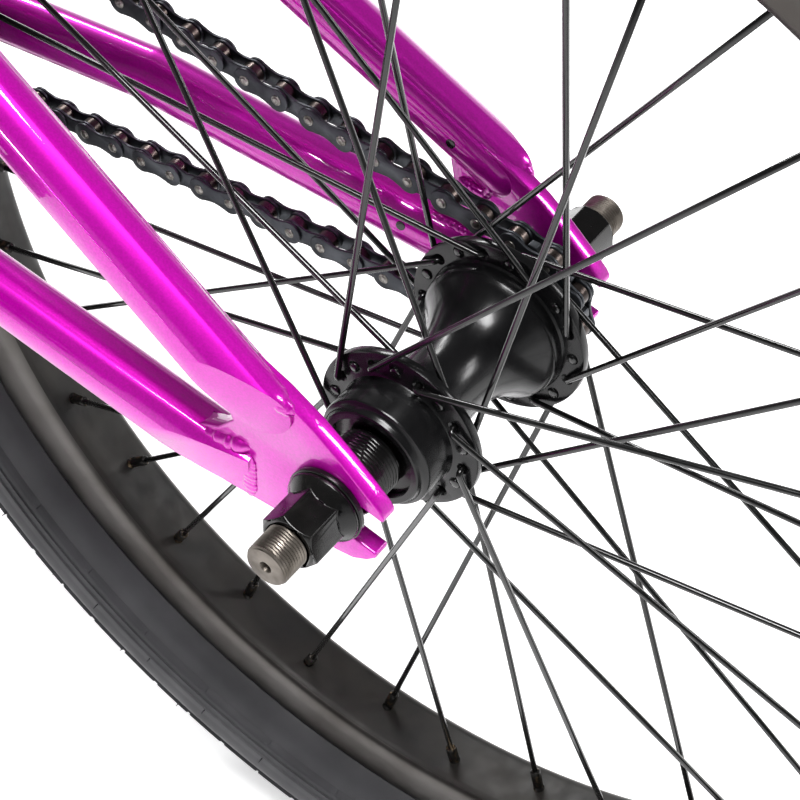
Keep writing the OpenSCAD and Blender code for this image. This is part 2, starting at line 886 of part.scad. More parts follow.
module front_nipples() {
  color(dark_grey) in_front_wheel() nipples(front_face, front_hole_r, front_face, front_hole_r);
}

// ---- fork, headset and stem ----

leg_y = front_half_gap + 3;
leg_top_r = 14.3;
leg_low_r = 9;
leg_top = [0, leg_y, 286];
leg_low = [fork_offset - 3, leg_y, 26];

module fork_steerer() {
  color(black) along_steerer() difference() {
    union() {
      translate([0, 0, crown_top - 12]) cylinder(r = steerer_r, h = stem_high - crown_top + 9);
      translate([0, 0, crown_top - 12]) cylinder(r1 = 22, r2 = 19.5, h = 12);
    }
    translate([0, 0, crown_top - 13]) cylinder(r = steerer_r - 2.3, h = stem_high);
    translate([0, 0, leg_top[2]]) across(leg_top_r + 1, -60, 60);
  }
}

module fork_dropout_shape() {
  difference() {
    union() {
      circle(r = 15);
      polygon([[-13.5, 6], [-13, 36], [7, 38], [14, 8]]);
    }
    circle(r = front_axle_r + 0.15);
    translate([-front_axle_r - 0.15, -20]) square([2 * front_axle_r + 0.3, 20]);
  }
}

module fork_dropout() {
  translate([fork_offset, 0, 0]) plate(front_half_gap + 6, 6) fork_dropout_shape();
}

module fork_dropouts() {
  color(black) along_steerer() both_sides() fork_dropout();
}

module fork_legs() {
  color(black) along_steerer() difference() {
    union() {
      translate([0, 0, leg_top[2]]) across(leg_top_r + 1, -leg_y + 4, leg_y - 4);
      both_sides() {
        translate(leg_top) sphere(r = leg_top_r);
        between(leg_top, leg_low, leg_top_r, leg_low_r);
        translate(leg_low) sphere(r = leg_low_r);
      }
    }
    both_sides() fork_dropout();
  }
}

module ring(z0, z1, r_out, r_in) {
  translate([0, 0, z0]) difference() {
    cylinder(r = r_out, h = z1 - z0);
    translate([0, 0, -1]) cylinder(r = r_in, h = z1 - z0 + 2);
  }
}

module headset_covers() {
  inner = steerer_r + fit_gap;
  color(black) along_steerer() {
    ring(crown_top + 0.1, head_low - 0.5, 20, inner);
    difference() {
      translate([0, 0, head_high + 0.5]) cylinder(r1 = 24.3, r2 = 18.5, h = cover_top - head_high - 0.5);
      translate([0, 0, head_high]) cylinder(r = inner, h = 10);
    }
    ring(cover_top, spacer_top, 17.5, inner);
  }
}

stem_half_w = 26;
stem_block_half = 19;
split_x = stem_reach;

module bar_bore() {
  translate([stem_reach, 0, bar_z]) across(bar_r + fit_gap, -60, 60);
}

module stem_body() {
  color(black) along_steerer() difference() {
    union() {
      translate([0, 0, stem_low]) cylinder(r = 20, h = stem_high - stem_low);
      translate([12, -stem_half_w, stem_low + 2])
        cube([split_x - 12.5, 2 * stem_half_w, stem_high - stem_low - 4]);
      translate([split_x - 14, -stem_half_w, bar_z - stem_block_half])
        cube([13.5, 2 * stem_half_w, 2 * stem_block_half]);
      translate([-29, -12, stem_low + 2]) cube([16, 24, stem_high - stem_low - 4]);
    }
    translate([0, 0, stem_low - 1]) cylinder(r = steerer_r + fit_gap, h = 40);
    translate([-32, -1, stem_low - 1]) cube([20, 2, 40]);
    bar_bore();
    stem_bolt_places() cylinder(r = 3.1, h = 60, $fn = 24);
    pinch_bolt_places() across(3.1, -20, 20, 24);
    translate([24, -14, stem_low - 1]) cube([10, 28, 40]);
  }
}

module stem_bolt_places() {
  for (y = [-19, 19], z = [-14.6, 14.6])
    translate([split_x - 14, y, bar_z + z]) rotate([0, 90, 0]) children();
}

module pinch_bolt_places() {
  for (z = [stem_low + 9, stem_high - 9]) translate([-23, 0, z]) children();
}

module stem_faceplate() {
  color(black) along_steerer() difference() {
    translate([split_x + 0.5, -stem_half_w, bar_z - stem_block_half])
      cube([17, 2 * stem_half_w, 2 * stem_block_half]);
    bar_bore();
    stem_bolt_places() {
      cylinder(r = 3.1, h = 60, $fn = 24);
      translate([0, 0, 26]) cylinder(r = 5, h = 60, $fn = 24);
    }
    translate([split_x + 13, -12, bar_z - 30]) cube([20, 24, 60]);
  }
}

module bolt(length, r, head_r, head_h, key) {
  cylinder(r = r, h = length, $fn = 24);
  translate([0, 0, length]) difference() {
    cylinder(r = head_r, h = head_h, $fn = 24);
    translate([0, 0, head_h - 2.5]) linear_extrude(height = 5) hexagon(key);
  }
}

module stem_bolts() {
  color(dark_grey) along_steerer() {
    stem_bolt_places() translate([0, 0, 1]) bolt(25.05, 3, 4.8, 5.5, 5);
    pinch_bolt_places() translate([0, -14, 0]) rotate([-90, 0, 0]) bolt(26.1, 3, 4.8, 5, 5);
  }
}

bar_low = [stem_reach, 0, bar_z];
bar_corner_1 = bar_low + [0, 62, 0];
bar_corner_2 = bar_low + [-4, 208, bar_rise];
bar_tip = bar_low + [-30, bar_half_w - 1, bar_rise + 6];
upright_dir = (bar_corner_2 - bar_corner_1) / norm(bar_corner_2 - bar_corner_1);
grip_dir = (bar_tip - bar_corner_2) / norm(bar_tip - bar_corner_2);
bend_r = 60;
upright_mid = (bar_corner_1 + bar_corner_2) / 2;
grip_l = 122;
grip_r = 15;

module handlebar() {
  color(black) along_steerer() both_sides() {
    bent_bar(bar_low, bar_corner_1, upright_mid, bar_r, bend_r);
    bent_bar(upright_mid, bar_corner_2, bar_tip, bar_r, bend_r);
  }
}

crossbar_rise = 128;
crossbar_mid = bar_corner_1 + upright_dir * (crossbar_rise / upright_dir[2]);

module handlebar_crossbar() {
  end = crossbar_mid;
  color(black) along_steerer() difference() {
    between([end[0], -end[1], end[2]], end, 8, 8);
    both_sides() between(bar_corner_1, bar_corner_2, bar_r, bar_r);
  }
}

module grips() {
  start = bar_tip - grip_l * grip_dir;
  stop = bar_tip + grip_dir * 2.6;
  color(black) along_steerer() both_sides() difference() {
    union() {
      between(start, stop, grip_r, grip_r);
      between(start, start + 4 * grip_dir, grip_r + 2.4, grip_r + 2.4);
    }
    between(start - grip_dir, bar_tip + 0.1 * grip_dir, bar_r + fit_gap, bar_r + fit_gap);
  }
}

module stem_top_cap() {
  color(black) along_steerer() translate([0, 0, stem_high + 0.2]) {
    difference() {
      cylinder(r1 = 17.5, r2 = 16, h = 4);
      translate([0, 0, 1]) cylinder(r = 6.6, h = 5);
      translate([0, 0, -1]) cylinder(r = 4.1, h = 5);
    }
    translate([0, 0, 4.6]) rotate([180, 0, 0]) translate([0, 0, -2.4]) {
      translate([0, 0, 3.4]) cylinder(r = 4, h = 38, $fn = 24);
      difference() {
        cylinder(r = 6.4, h = 3.5, $fn = 24);
        translate([0, 0, -1]) linear_extrude(height = 3) hexagon(6);
      }
    }
  }
}

// ---- seat ----

saddle_pivot = seat_point(saddle_height);

module seat_post() {
  color(black) along_seat_tube() difference() {
    union() {
      translate([0, 0, 130]) cylinder(r = seat_post_r, h = saddle_height - 142);
      translate([0, 0, saddle_height]) across(12, -11, 11);
      translate([-9, -11, saddle_height - 14]) cube([18, 22, 12]);
    }
    translate([0, 0, 129]) cylinder(r = seat_post_r - 2, h = saddle_height - 150);
    translate([0, 0, saddle_height]) across(4.1, -12, 12);
  }
}

saddle_x = saddle_pivot[0];
saddle_z = saddle_pivot[2];
saddle_tail = 92;
saddle_nose = 150;
saddle_pad_h = 28;

module saddle_outline(low, high, inset) {
  hull() {
    for (y = [-1, 1]) translate([saddle_x - saddle_tail + 30, y * (62 - 30), low])
      cylinder(r = 30 - inset, h = high - low, $fn = 32);
    translate([saddle_x + saddle_nose - 22, 0, low])
      cylinder(r = 22 - inset, h = high - low, $fn = 32);
  }
}

module saddle_base() {
  color(black) difference() {
    union() {
      saddle_outline(saddle_z + 14, saddle_z + 19, 6);
      for (y = [-1, 1]) translate([saddle_x - 24, y * 15.5 - 3.5, saddle_z - 10])
        cube([48, 7, 26]);
    }
    translate(saddle_pivot) across(4.1, -30, 30);
  }
}

module saddle_pad() {
  color(black) hull() {
    for (y = [-1, 1]) translate([saddle_x - saddle_tail + 30, y * 32, saddle_z + 19.2])
      cylinder(r1 = 29, r2 = 18, h = saddle_pad_h, $fn = 32);
    translate([saddle_x + saddle_nose - 22, 0, saddle_z + 19.2])
      cylinder(r1 = 21, r2 = 12, h = saddle_pad_h, $fn = 32);
  }
}

module saddle_bolt() {
  color(dark_grey) translate(saddle_pivot) rotate([-90, 0, 0]) translate([0, 0, -22])
    bolt(41.1, 4, 6.5, 5, 6);
}

// ---- crank ----

spindle_half = 74;
boss_y = chain_line + 1.6;
arm_in_y = 57;
arm_out_y = 72;
sprocket_bolt_x = 33.5;
left_boss_y = 41;

module crank_spindle() {
  color(steel) at_crank_axis() difference() {
    across(spindle_r, -spindle_half, spindle_half);
    both_sides() across(5.1, spindle_half - 30, spindle_half + 1);
  }
}

function along_arm(x) = [x, arm_in_y + (arm_out_y - arm_in_y) * x / crank_length, 0];

// A crank arm on the left side that points along +X, its boss starting at y0
module crank_arm(y0) {
  pedal = [crank_length, arm_out_y, 0];
  difference() {
    union() {
      across(17, y0, 71);
      between(along_arm(12), along_arm(crank_length - 8.2), 11, 10);
      translate(pedal) across(13, -9, 9);
    }
    across(spindle_r + fit_gap, y0 - 1, 100);
    translate(pedal) across(7.15 + fit_gap, -10, 10);
  }
}

module left_crank_arm() {
  color(black) at_crank_axis() rotate([0, 0, 180]) mirror([0, 1, 0]) crank_arm(left_boss_y);
}

module right_crank_arm() {
  color(black) at_crank_axis() mirror([0, 1, 0]) difference() {
    union() {
      crank_arm(boss_y);
      translate([sprocket_bolt_x, 0, 0]) across(7, boss_y, arm_in_y + 4);
    }
    translate([sprocket_bolt_x, 0, 0]) across(3.55, boss_y - 1, arm_in_y - 2);
  }
}

module crank_bolts() {
  color(steel) at_crank_axis() {
    both_sides() {
      across(5, spindle_half - 28, spindle_half + 0.2);
      difference() {
        across(15, spindle_half + 0.1, spindle_half + 4.5);
        translate([0, spindle_half + 5, 0]) rotate([90, 0, 0])
          linear_extrude(height = 3) hexagon(8);
      }
    }
    mirror([0, 1, 0]) translate([sprocket_bolt_x, 0, 0]) {
      across(3.5, chain_line - 4, arm_in_y - 3, 24);
      across(6, chain_line - 6, chain_line - 1.5, 24);
    }
  }
}

module crank_spacers() {
  color(black) at_crank_axis() {
    axle_washer(bb_shell_half + 0.3, left_boss_y - bb_shell_half - 0.4, 15, spindle_r);
    mirror([0, 1, 0])
      axle_washer(bb_shell_half + 0.3, chain_line - bb_shell_half - 1.9, 15, spindle_r);
  }
}

// ---- pedals ----

pedal_in_y = 85;
pedal_out_y = 180;
pedal_axle_r = 6;

module right_pedal_place() {
  at_crank_axis() translate([crank_length, 0, 0]) mirror([0, 1, 0]) children();
}

module left_pedal_place() {
  at_crank_axis() translate([-crank_length, 0, 0]) children();
}

module pedal_spindle() {
  difference() {
    union() {
      across(7.15, arm_out_y - 9, arm_out_y + 9.2);
      across(9, arm_out_y + 9.1, arm_out_y + 12);
      across(pedal_axle_r, arm_out_y + 11, pedal_out_y - 8);
    }
    translate([0, arm_out_y - 3, 0]) rotate([90, 0, 0]) linear_extrude(height = 8) hexagon(8);
  }
}

module pedal_spindles() {
  color(steel) {
    left_pedal_place() pedal_spindle();
    right_pedal_place() pedal_spindle();
  }
}

// A platform pedal with open windows and studs on both faces
module pedal() {
  l = pedal_out_y - pedal_in_y;
  difference() {
    union() {
      translate([-49, pedal_in_y, -9]) cube([98, l, 18]);
      across(13, pedal_in_y, pedal_out_y);
      for (x = [-43, -24, 24, 43], y = [pedal_in_y + 7, pedal_out_y - 7])
        translate([x, y, -12.5]) cylinder(r = 2, h = 25, $fn = 16);
    }
    for (side = [-1, 1], y = [pedal_in_y + 12, pedal_in_y + 52])
      translate([side * 28 - 12, y, -15]) cube([24, 31, 30]);
    across(pedal_axle_r + fit_gap, pedal_in_y - 1, pedal_out_y - 7);
  }
}

module left_pedal() {
  color(black) left_pedal_place() pedal();
}

module right_pedal() {
  color(black) right_pedal_place() pedal();
}

head_tube();
top_tube();
down_tube();
seat_tube();
bottom_bracket_shell();
chain_stays();
seat_stays();
left_dropout();
right_dropout();
seat_clamp();
seat_clamp_bolt();
headset_bearings();
bottom_bracket_bearings();
chain_inner_links();
chain_outer_links();
rear_axle();
rear_axle_nuts();
rear_axle_washers();
rear_axle_cones();
seat_post();
saddle_base();
saddle_pad();
saddle_bolt();
fork_steerer();
fork_legs();
fork_dropouts();
headset_covers();
stem_body();
stem_faceplate();
stem_bolts();
handlebar();
handlebar_crossbar();
grips();
stem_top_cap();
front_axle();
front_axle_nuts();
front_axle_cones();
front_hub();
front_rim();
front_tyre();
front_inner_tube();
front_spokes();
front_nipples();
rear_hub();
rear_hub_bearings();
rear_rim();
rear_tyre();
rear_inner_tube();
rear_spokes();
rear_nipples();
rear_driver();
crank_spindle();
left_crank_arm();
right_crank_arm();
sprocket();
crank_bolts();
crank_spacers();
pedal_spindles();
left_pedal();
right_pedal();
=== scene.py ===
"""Materials, fine detail, light and camera for the BMX bicycle. Lengths are in metres, +X forward, +Z up."""
import json
import math

import bmesh
import bpy
from mathutils import Matrix, Vector


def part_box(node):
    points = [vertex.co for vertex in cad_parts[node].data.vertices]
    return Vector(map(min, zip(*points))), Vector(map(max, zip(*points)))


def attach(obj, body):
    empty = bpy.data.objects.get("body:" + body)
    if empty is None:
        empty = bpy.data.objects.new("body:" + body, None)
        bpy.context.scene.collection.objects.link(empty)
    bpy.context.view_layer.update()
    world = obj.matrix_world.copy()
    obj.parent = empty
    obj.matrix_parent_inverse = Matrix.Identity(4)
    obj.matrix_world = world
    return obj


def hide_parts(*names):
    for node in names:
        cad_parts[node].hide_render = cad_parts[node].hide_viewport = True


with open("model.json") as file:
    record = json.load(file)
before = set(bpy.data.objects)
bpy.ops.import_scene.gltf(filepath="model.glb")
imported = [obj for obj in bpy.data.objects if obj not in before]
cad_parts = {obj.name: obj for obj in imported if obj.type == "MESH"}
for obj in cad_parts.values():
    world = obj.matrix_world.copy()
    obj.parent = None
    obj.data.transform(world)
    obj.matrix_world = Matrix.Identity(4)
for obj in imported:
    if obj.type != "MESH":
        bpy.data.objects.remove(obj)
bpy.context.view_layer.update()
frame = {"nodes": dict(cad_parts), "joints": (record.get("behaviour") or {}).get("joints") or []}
NODES = frame["nodes"]
JOINTS = {j["name"]: j for j in frame["joints"]}

MM = 0.001
REAR = Vector(JOINTS["rear_wheel_spin"]["pos_m"])
FRONT = Vector(JOINTS["front_wheel_spin"]["pos_m"])
CRANK = Vector(JOINTS["crank_spin"]["pos_m"])
STEER_UP = Vector(JOINTS["steering_turn"]["axis"]).normalized()
STEER_FORWARD = Vector((STEER_UP.z, 0, -STEER_UP.x))
SEAT_UP = Vector(JOINTS["seat_height"]["axis"]).normalized()
ACROSS = Vector((0, 1, 0))


# ---------------------------------------------------------------- materials


class Shader:
    """A small helper that builds a node material round one Principled shader."""

    def __init__(self, name, color, metallic=0.0, roughness=0.5, coat=0.0, coat_roughness=0.05, specular=0.5):
        self.material = bpy.data.materials.new(name)
        self.material.use_nodes = True
        self.tree = self.material.node_tree
        self.bsdf = self.tree.nodes["Principled BSDF"]
        self.coordinates = self.tree.nodes.new("ShaderNodeTexCoord")
        self.normal = None
        self.set("Base Color", (*color, 1))
        self.set("Metallic", metallic)
        self.set("Roughness", roughness)
        self.set("Coat Weight", coat)
        self.set("Coat Roughness", coat_roughness)
        self.set("Specular IOR Level", specular)

    def set(self, socket, value):
        self.bsdf.inputs[socket].default_value = value

    def node(self, kind, **inputs):
        made = self.tree.nodes.new(kind)
        for key, value in inputs.items():
            made.inputs[key.replace("_", " ")].default_value = value
        return made

    def link(self, a, b):
        self.tree.links.new(a, b)

    def noise(self, scale, detail=4.0, stretch=(1, 1, 1), roughness=0.5):
        mapping = self.node("ShaderNodeMapping", Scale=stretch)
        self.link(self.coordinates.outputs["Object"], mapping.inputs["Vector"])
        texture = self.node("ShaderNodeTexNoise", Scale=scale, Detail=detail, Roughness=roughness)
        self.link(mapping.outputs["Vector"], texture.inputs["Vector"])
        return texture.outputs["Fac"]

    def ramp(self, source, stops):
        made = self.tree.nodes.new("ShaderNodeValToRGB")
        elements = made.color_ramp.elements
        while len(elements) < len(stops):
            elements.new(0.5)
        for element, (place, value) in zip(elements, stops):
            element.position = place
            element.color = (*value, 1) if isinstance(value, tuple) else (value, value, value, 1)
        self.link(source, made.inputs["Fac"])
        return made.outputs["Color"]

    def vary_color(self, source, low, high, start=0.35, end=0.65):
        self.link(self.ramp(source, [(start, low), (end, high)]), self.bsdf.inputs["Base Color"])

    def vary_roughness(self, source, low, high, start=0.3, end=0.7):
        self.link(self.ramp(source, [(start, low), (end, high)]), self.bsdf.inputs["Roughness"])

    def bump(self, source, strength, distance):
        made = self.node("ShaderNodeBump", Strength=strength, Distance=distance)
        self.link(source, made.inputs["Height"])
        if self.normal is not None:
            self.link(self.normal, made.inputs["Normal"])
        self.normal = made.outputs["Normal"]
        self.link(self.normal, self.bsdf.inputs["Normal"])


def candy_paint():
    s = Shader(
        "candy_magenta", (0.64, 0.0, 0.47), metallic=0.45, roughness=0.34, coat=1.0, coat_roughness=0.02
    )
    s.set("Coat IOR", 1.65)
    s.set("Specular IOR Level", 0.2)
    s.vary_color(s.noise(1500, 2), (0.57, 0.0, 0.41), (0.71, 0.0, 0.53), 0.3, 0.7)
    s.bump(s.noise(55, 2), 0.04, 0.0008)
    return s.material


def gloss_black():
    s = Shader(
        "gloss_black", (0.005, 0.005, 0.0055), metallic=0.2, roughness=0.18, coat=0.8, coat_roughness=0.05
    )
    s.vary_roughness(s.noise(60, 3), 0.13, 0.24)
    s.bump(s.noise(90, 2), 0.03, 0.0004)
    return s.material


def anodised_black():
    s = Shader(
        "anodised_black", (0.006, 0.006, 0.0065), metallic=0.2, roughness=0.24, coat=0.1, coat_roughness=0.08,
        specular=0.38,
    )
    s.vary_roughness(s.noise(240, 3, (1, 0.2, 1)), 0.18, 0.27)
    s.bump(s.noise(800, 2, (0.3, 6, 0.3)), 0.03, 0.0001)
    return s.material


def rim_black():
    s = Shader("rim_black", (0.1, 0.094, 0.088), metallic=1.0, roughness=0.36)
    s.vary_color(s.noise(40, 4), (0.07, 0.064, 0.059), (0.11, 0.104, 0.099))
    s.vary_roughness(s.noise(90, 3), 0.32, 0.42)
    s.bump(s.noise(500, 2), 0.04, 0.0002)
    return s.material


# Painted shade: the rim's bed is the same black anodised metal as its walls, made darker here for the shade
# in the well between the walls; the noise gives it uneven tone
def rim_bed_painted_shade():
    s = Shader("rim_bed_painted_shade", (0.012, 0.011, 0.01), metallic=0.2, roughness=0.5)
    s.vary_color(s.noise(50, 5), (0.007, 0.0065, 0.0055), (0.02, 0.0175, 0.014))
    s.vary_roughness(s.noise(120, 3), 0.42, 0.6)
    s.bump(s.noise(420, 3), 0.06, 0.0003)
    return s.material


def plated_black():
    s = Shader(
        "plated_black", (0.008, 0.008, 0.0085), metallic=0.6, roughness=0.16, coat=0.2, coat_roughness=0.1
    )
    s.vary_roughness(s.noise(180, 4), 0.14, 0.3)
    s.vary_color(s.noise(60, 4), (0.006, 0.006, 0.0065), (0.018, 0.017, 0.016))
    return s.material


def bare_steel():
    s = Shader("bare_steel", (0.17, 0.15, 0.13), metallic=0.9, roughness=0.42)
    s.vary_color(s.noise(160, 5), (0.11, 0.095, 0.08), (0.22, 0.195, 0.17))
    s.vary_roughness(s.noise(300, 4), 0.34, 0.55)
    s.bump(s.noise(900, 3, (1, 5, 1)), 0.12, 0.0002)
    return s.material


def chain_plate_steel():
    s = Shader("chain_plate", (0.06, 0.063, 0.07), metallic=0.75, roughness=0.4)
    s.vary_color(s.noise(140, 5), (0.035, 0.038, 0.045), (0.075, 0.08, 0.09))
    s.vary_roughness(s.noise(220, 4), 0.32, 0.5)
    s.bump(s.noise(700, 3), 0.08, 0.0001)
    return s.material


def roller_steel():
    s = Shader("chain_roller", (0.14, 0.1, 0.085), metallic=0.85, roughness=0.3)
    s.vary_color(s.noise(120, 4), (0.04, 0.03, 0.027), (0.1, 0.078, 0.07))
    s.vary_roughness(s.noise(260, 4), 0.22, 0.42)
    return s.material


def pin_steel():
    s = Shader("chain_pin", (0.4, 0.38, 0.36), metallic=0.9, roughness=0.35)
    s.vary_color(s.noise(600, 4), (0.13, 0.12, 0.105), (0.36, 0.345, 0.325))
    s.bump(s.noise(1200, 2), 0.2, 0.0001)
    return s.material


def spoke_black():
    s = Shader(
        "spoke_black", (0.004, 0.004, 0.004), metallic=0.1, roughness=0.22, coat=0.5, coat_roughness=0.06
    )
    s.vary_roughness(s.noise(120, 3), 0.16, 0.28)
    return s.material


def nipple_black():
    s = Shader("nipple_black", (0.03, 0.027, 0.022), metallic=0.8, roughness=0.32)
    s.vary_color(s.noise(420, 4), (0.016, 0.015, 0.014), (0.16, 0.11, 0.06), 0.52, 0.74)
    return s.material


def tyre_rubber():
    s = Shader("tyre_rubber", (0.04, 0.04, 0.043), roughness=0.6, specular=0.35)
    s.vary_color(s.noise(26, 5), (0.036, 0.036, 0.039), (0.06, 0.06, 0.065))
    s.vary_roughness(s.noise(60, 4), 0.5, 0.72)
    s.bump(s.noise(1400, 3), 0.12, 0.0002)
    return s.material


def black_rubber():
    s = Shader("black_rubber", (0.02, 0.02, 0.021), roughness=0.65, specular=0.3)
    s.vary_color(s.noise(90, 4), (0.015, 0.015, 0.016), (0.028, 0.028, 0.03))
    s.bump(s.noise(900, 3), 0.15, 0.0002)
    return s.material


def moulded_plastic():
    s = Shader("moulded_plastic", (0.02, 0.02, 0.021), roughness=0.45, specular=0.4)
    s.vary_roughness(s.noise(70, 3), 0.38, 0.55)
    s.bump(s.noise(650, 2), 0.18, 0.0003)
    return s.material


def saddle_cloth():
    s = Shader("saddle_cloth", (0.025, 0.025, 0.027), roughness=0.8, specular=0.3)
    s.set("Sheen Weight", 0.15)
    weave = s.node("ShaderNodeTexWave", Scale=420.0, Distortion=0.4)
    s.link(s.coordinates.outputs["Object"], weave.inputs["Vector"])
    across = s.node("ShaderNodeTexWave", Scale=420.0, Distortion=0.4)
    across.bands_direction = "Y"
    s.link(s.coordinates.outputs["Object"], across.inputs["Vector"])
    s.vary_color(s.noise(60, 4), (0.018, 0.018, 0.02), (0.034, 0.034, 0.037))
    s.bump(weave.outputs["Fac"], 0.3, 0.0003)
    s.bump(across.outputs["Fac"], 0.3, 0.0003)
    return s.material


CANDY = candy_paint()
GLOSS = gloss_black()
ANODISED = anodised_black()
RIM = rim_black()
RIM_BED_SHADE = rim_bed_painted_shade()
PLATED = plated_black()
STEEL = bare_steel()
PLATE = chain_plate_steel()
ROLLER = roller_steel()
PIN = pin_steel()
SPOKE = spoke_black()
NIPPLE = nipple_black()
TYRE = tyre_rubber()
RUBBER = black_rubber()
PLASTIC = moulded_plastic()
CLOTH = saddle_cloth()

NODE_LOOK = {
    CANDY: "head_tube top_tube down_tube seat_tube bottom_bracket_shell chain_stays seat_stays"
    " left_dropout right_dropout",
    GLOSS: "fork_steerer fork_legs fork_dropouts handlebar handlebar_crossbar left_crank_arm right_crank_arm",
    ANODISED: "seat_clamp seat_post headset_covers stem_body stem_faceplate stem_top_cap front_hub rear_hub"
    " sprocket crank_spacers",
    RIM: "front_rim rear_rim",
    PLATED: "rear_hub_bearings rear_axle_nuts rear_axle_washers rear_axle_cones front_axle_nuts"
    " front_axle_cones seat_clamp_bolt saddle_bolt stem_bolts",
    STEEL: "headset_bearings bottom_bracket_bearings rear_axle front_axle crank_spindle"
    " crank_bolts pedal_spindles",
    PLATE: "chain_inner_links chain_outer_links rear_driver",
    TYRE: "front_tyre rear_tyre",
    RUBBER: "front_inner_tube rear_inner_tube grips",
    SPOKE: "front_spokes rear_spokes",
    NIPPLE: "front_nipples rear_nipples",
    PLASTIC: "saddle_base left_pedal right_pedal",
    CLOTH: "saddle_pad",
}

# How far the edges of a CAD node are rounded, in millimetres; the rest get EDGE
EDGE = 0.3
NODE_EDGE = {
    "left_dropout": 0.7,
    "right_dropout": 0.7,
    "rear_axle_washers": 0.4,
    "rear_axle_cones": 0.25,
    "fork_dropouts": 1.0,
    "rear_axle_nuts": 0.35,
    "rear_hub": 0.35,
    "stem_body": 1.0,
    "stem_faceplate": 1.0,
    "left_pedal": 1.2,
    "right_pedal": 1.2,
    "seat_clamp": 0.8,
    "sprocket": 0.4,
    "saddle_base": 1.0,
}


WELD_DISTANCE = 1e-6
FLAT_ANGLE = 0.5
BEVEL_ANGLE = 35
BEVEL_SEGMENTS = 3


def round_edges(obj, width, clamp):
    """Joins the faces of a mesh and rounds its sharp edges, with modifiers only."""
    weld = obj.modifiers.new("weld", "WELD")
    weld.merge_threshold = WELD_DISTANCE
    flat = obj.modifiers.new("flat", "DECIMATE")
    flat.decimate_type = "DISSOLVE"
    flat.angle_limit = math.radians(FLAT_ANGLE)
    bevel = obj.modifiers.new("bevel", "BEVEL")
    bevel.width = width * MM
    bevel.segments = BEVEL_SEGMENTS
    bevel.limit_method = "ANGLE"
    bevel.angle_limit = math.radians(BEVEL_ANGLE)
    bevel.use_clamp_overlap = clamp
    bevel.harden_normals = True
    shade_smooth(obj)


def shade_smooth(obj):
    values = [True] * len(obj.data.polygons)
    obj.data.polygons.foreach_set("use_smooth", values)


def dress_cad_nodes():
    for material, names in NODE_LOOK.items():
        for name in names.split():
            obj = NODES[name]
            obj.data.materials.clear()
            obj.data.materials.append(material)
            round_edges(obj, NODE_EDGE.get(name, EDGE), name not in NODE_EDGE)


# ---------------------------------------------------------------- mesh making


def piece(name, mesh, body, material):
    obj = bpy.data.objects.new(name, mesh)
    bpy.context.scene.collection.objects.link(obj)
    obj.data.materials.append(material)
    shade_smooth(obj)
    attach(obj, body)
    return obj


def mesh_from(name, verts, faces):
    mesh = bpy.data.meshes.new(name)
    mesh.from_pydata([tuple(v) for v in verts], [], faces)
    mesh.validate()
    mesh.update()
    work = bmesh.new()
    work.from_mesh(mesh)
    bmesh.ops.recalc_face_normals(work, faces=work.faces)
    work.to_mesh(mesh)
    work.free()
    return mesh


class Parts:
    """Collects the vertices and faces of many small shapes that make one mesh."""

    def __init__(self):
        self.verts = []
        self.faces = []

    def add(self, verts, faces, place=None):
        start = len(self.verts)
        self.verts += [place @ Vector(v) for v in verts] if place else [Vector(v) for v in verts]
        self.faces += [tuple(start + i for i in f) for f in faces]

    def mesh(self, name):
        return mesh_from(name, self.verts, self.faces)


def ring_grid(rows, count, close_rows=False, cap=False):
    """Faces of a grid of rows, each a closed ring of count vertices."""
    faces = []
    last = rows if close_rows else rows - 1
    for i in range(last):
        a = i * count
        b = ((i + 1) % rows) * count
        for j in range(count):
            k = (j + 1) % count
            faces.append((a + j, a + k, b + k, b + j))
    if cap:
        faces.append(tuple(range(count - 1, -1, -1)))
        faces.append(tuple((rows - 1) * count + j for j in range(count)))
    return faces


def lathe(profile, count, closed=False):
    """Vertices and faces of a profile of (radius, y) in millimetres, turned about Y."""
    verts = []
    for r, y in profile:
        for j in range(count):
            t = math.tau * j / count
            verts.append(Vector((r * math.cos(t), y, r * math.sin(t))) * MM)
    return verts, ring_grid(len(profile), count, closed, not closed)


def sweep(path, radius, count=10):
    """A round tube along points in metres. radius is in metres, one number or one for each point."""
    radii = radius if isinstance(radius, (list, tuple)) else [radius] * len(path)
    verts = []
    side = None
    for i, p in enumerate(path):
        ahead = (path[min(i + 1, len(path) - 1)] - path[max(i - 1, 0)]).normalized()
        if side is None:
            side = ahead.orthogonal().normalized()
        side = (side - ahead * side.dot(ahead)).normalized()
        other = ahead.cross(side)
        for j in range(count):
            t = math.tau * j / count
            verts.append(p + (side * math.cos(t) + other * math.sin(t)) * radii[i])
    return verts, ring_grid(len(path), count, False, True)


def ellipsoid(centre, axes, rings, count):
    """A ball stretched along three axes, each a vector in metres."""
    verts = []
    for i in range(1, rings):
        t = math.pi * i / rings
        for j in range(count):
            u = math.tau * j / count
            at = centre + axes[0] * math.cos(t) + axes[1] * math.sin(t) * math.cos(u)
            verts.append(at + axes[2] * math.sin(t) * math.sin(u))
    return verts, ring_grid(rings - 1, count, False, True)


def polar(r, degrees, y):
    t = math.radians(degrees)
    return Vector((r * math.cos(t), y, r * math.sin(t))) * MM


# ---------------------------------------------------------------- wheels

SPOKES_PER_SIDE = 18
SPOKE_STEP = 360 / SPOKES_PER_SIDE
# Degrees round the wheel from a spoke's hole in the flange to its nipple
CROSSING = 60
SPOKE_R = 1.0
SPOKE_END_R = 192.6
# Where points of a spoke lie past its bend
SPOKE_POINTS = (12, 60, 120)
BEND_L = 1.9
BEND_STEPS = 6
HEAD_R = 1.75
HEAD_HALF_T = 0.55
HEAD_RISE = 0.3
FLANGE_T = 3.4
ELBOW_RISE = 2.4
ELBOW_GAP = 0.15
RIM_SPREAD = 2.0


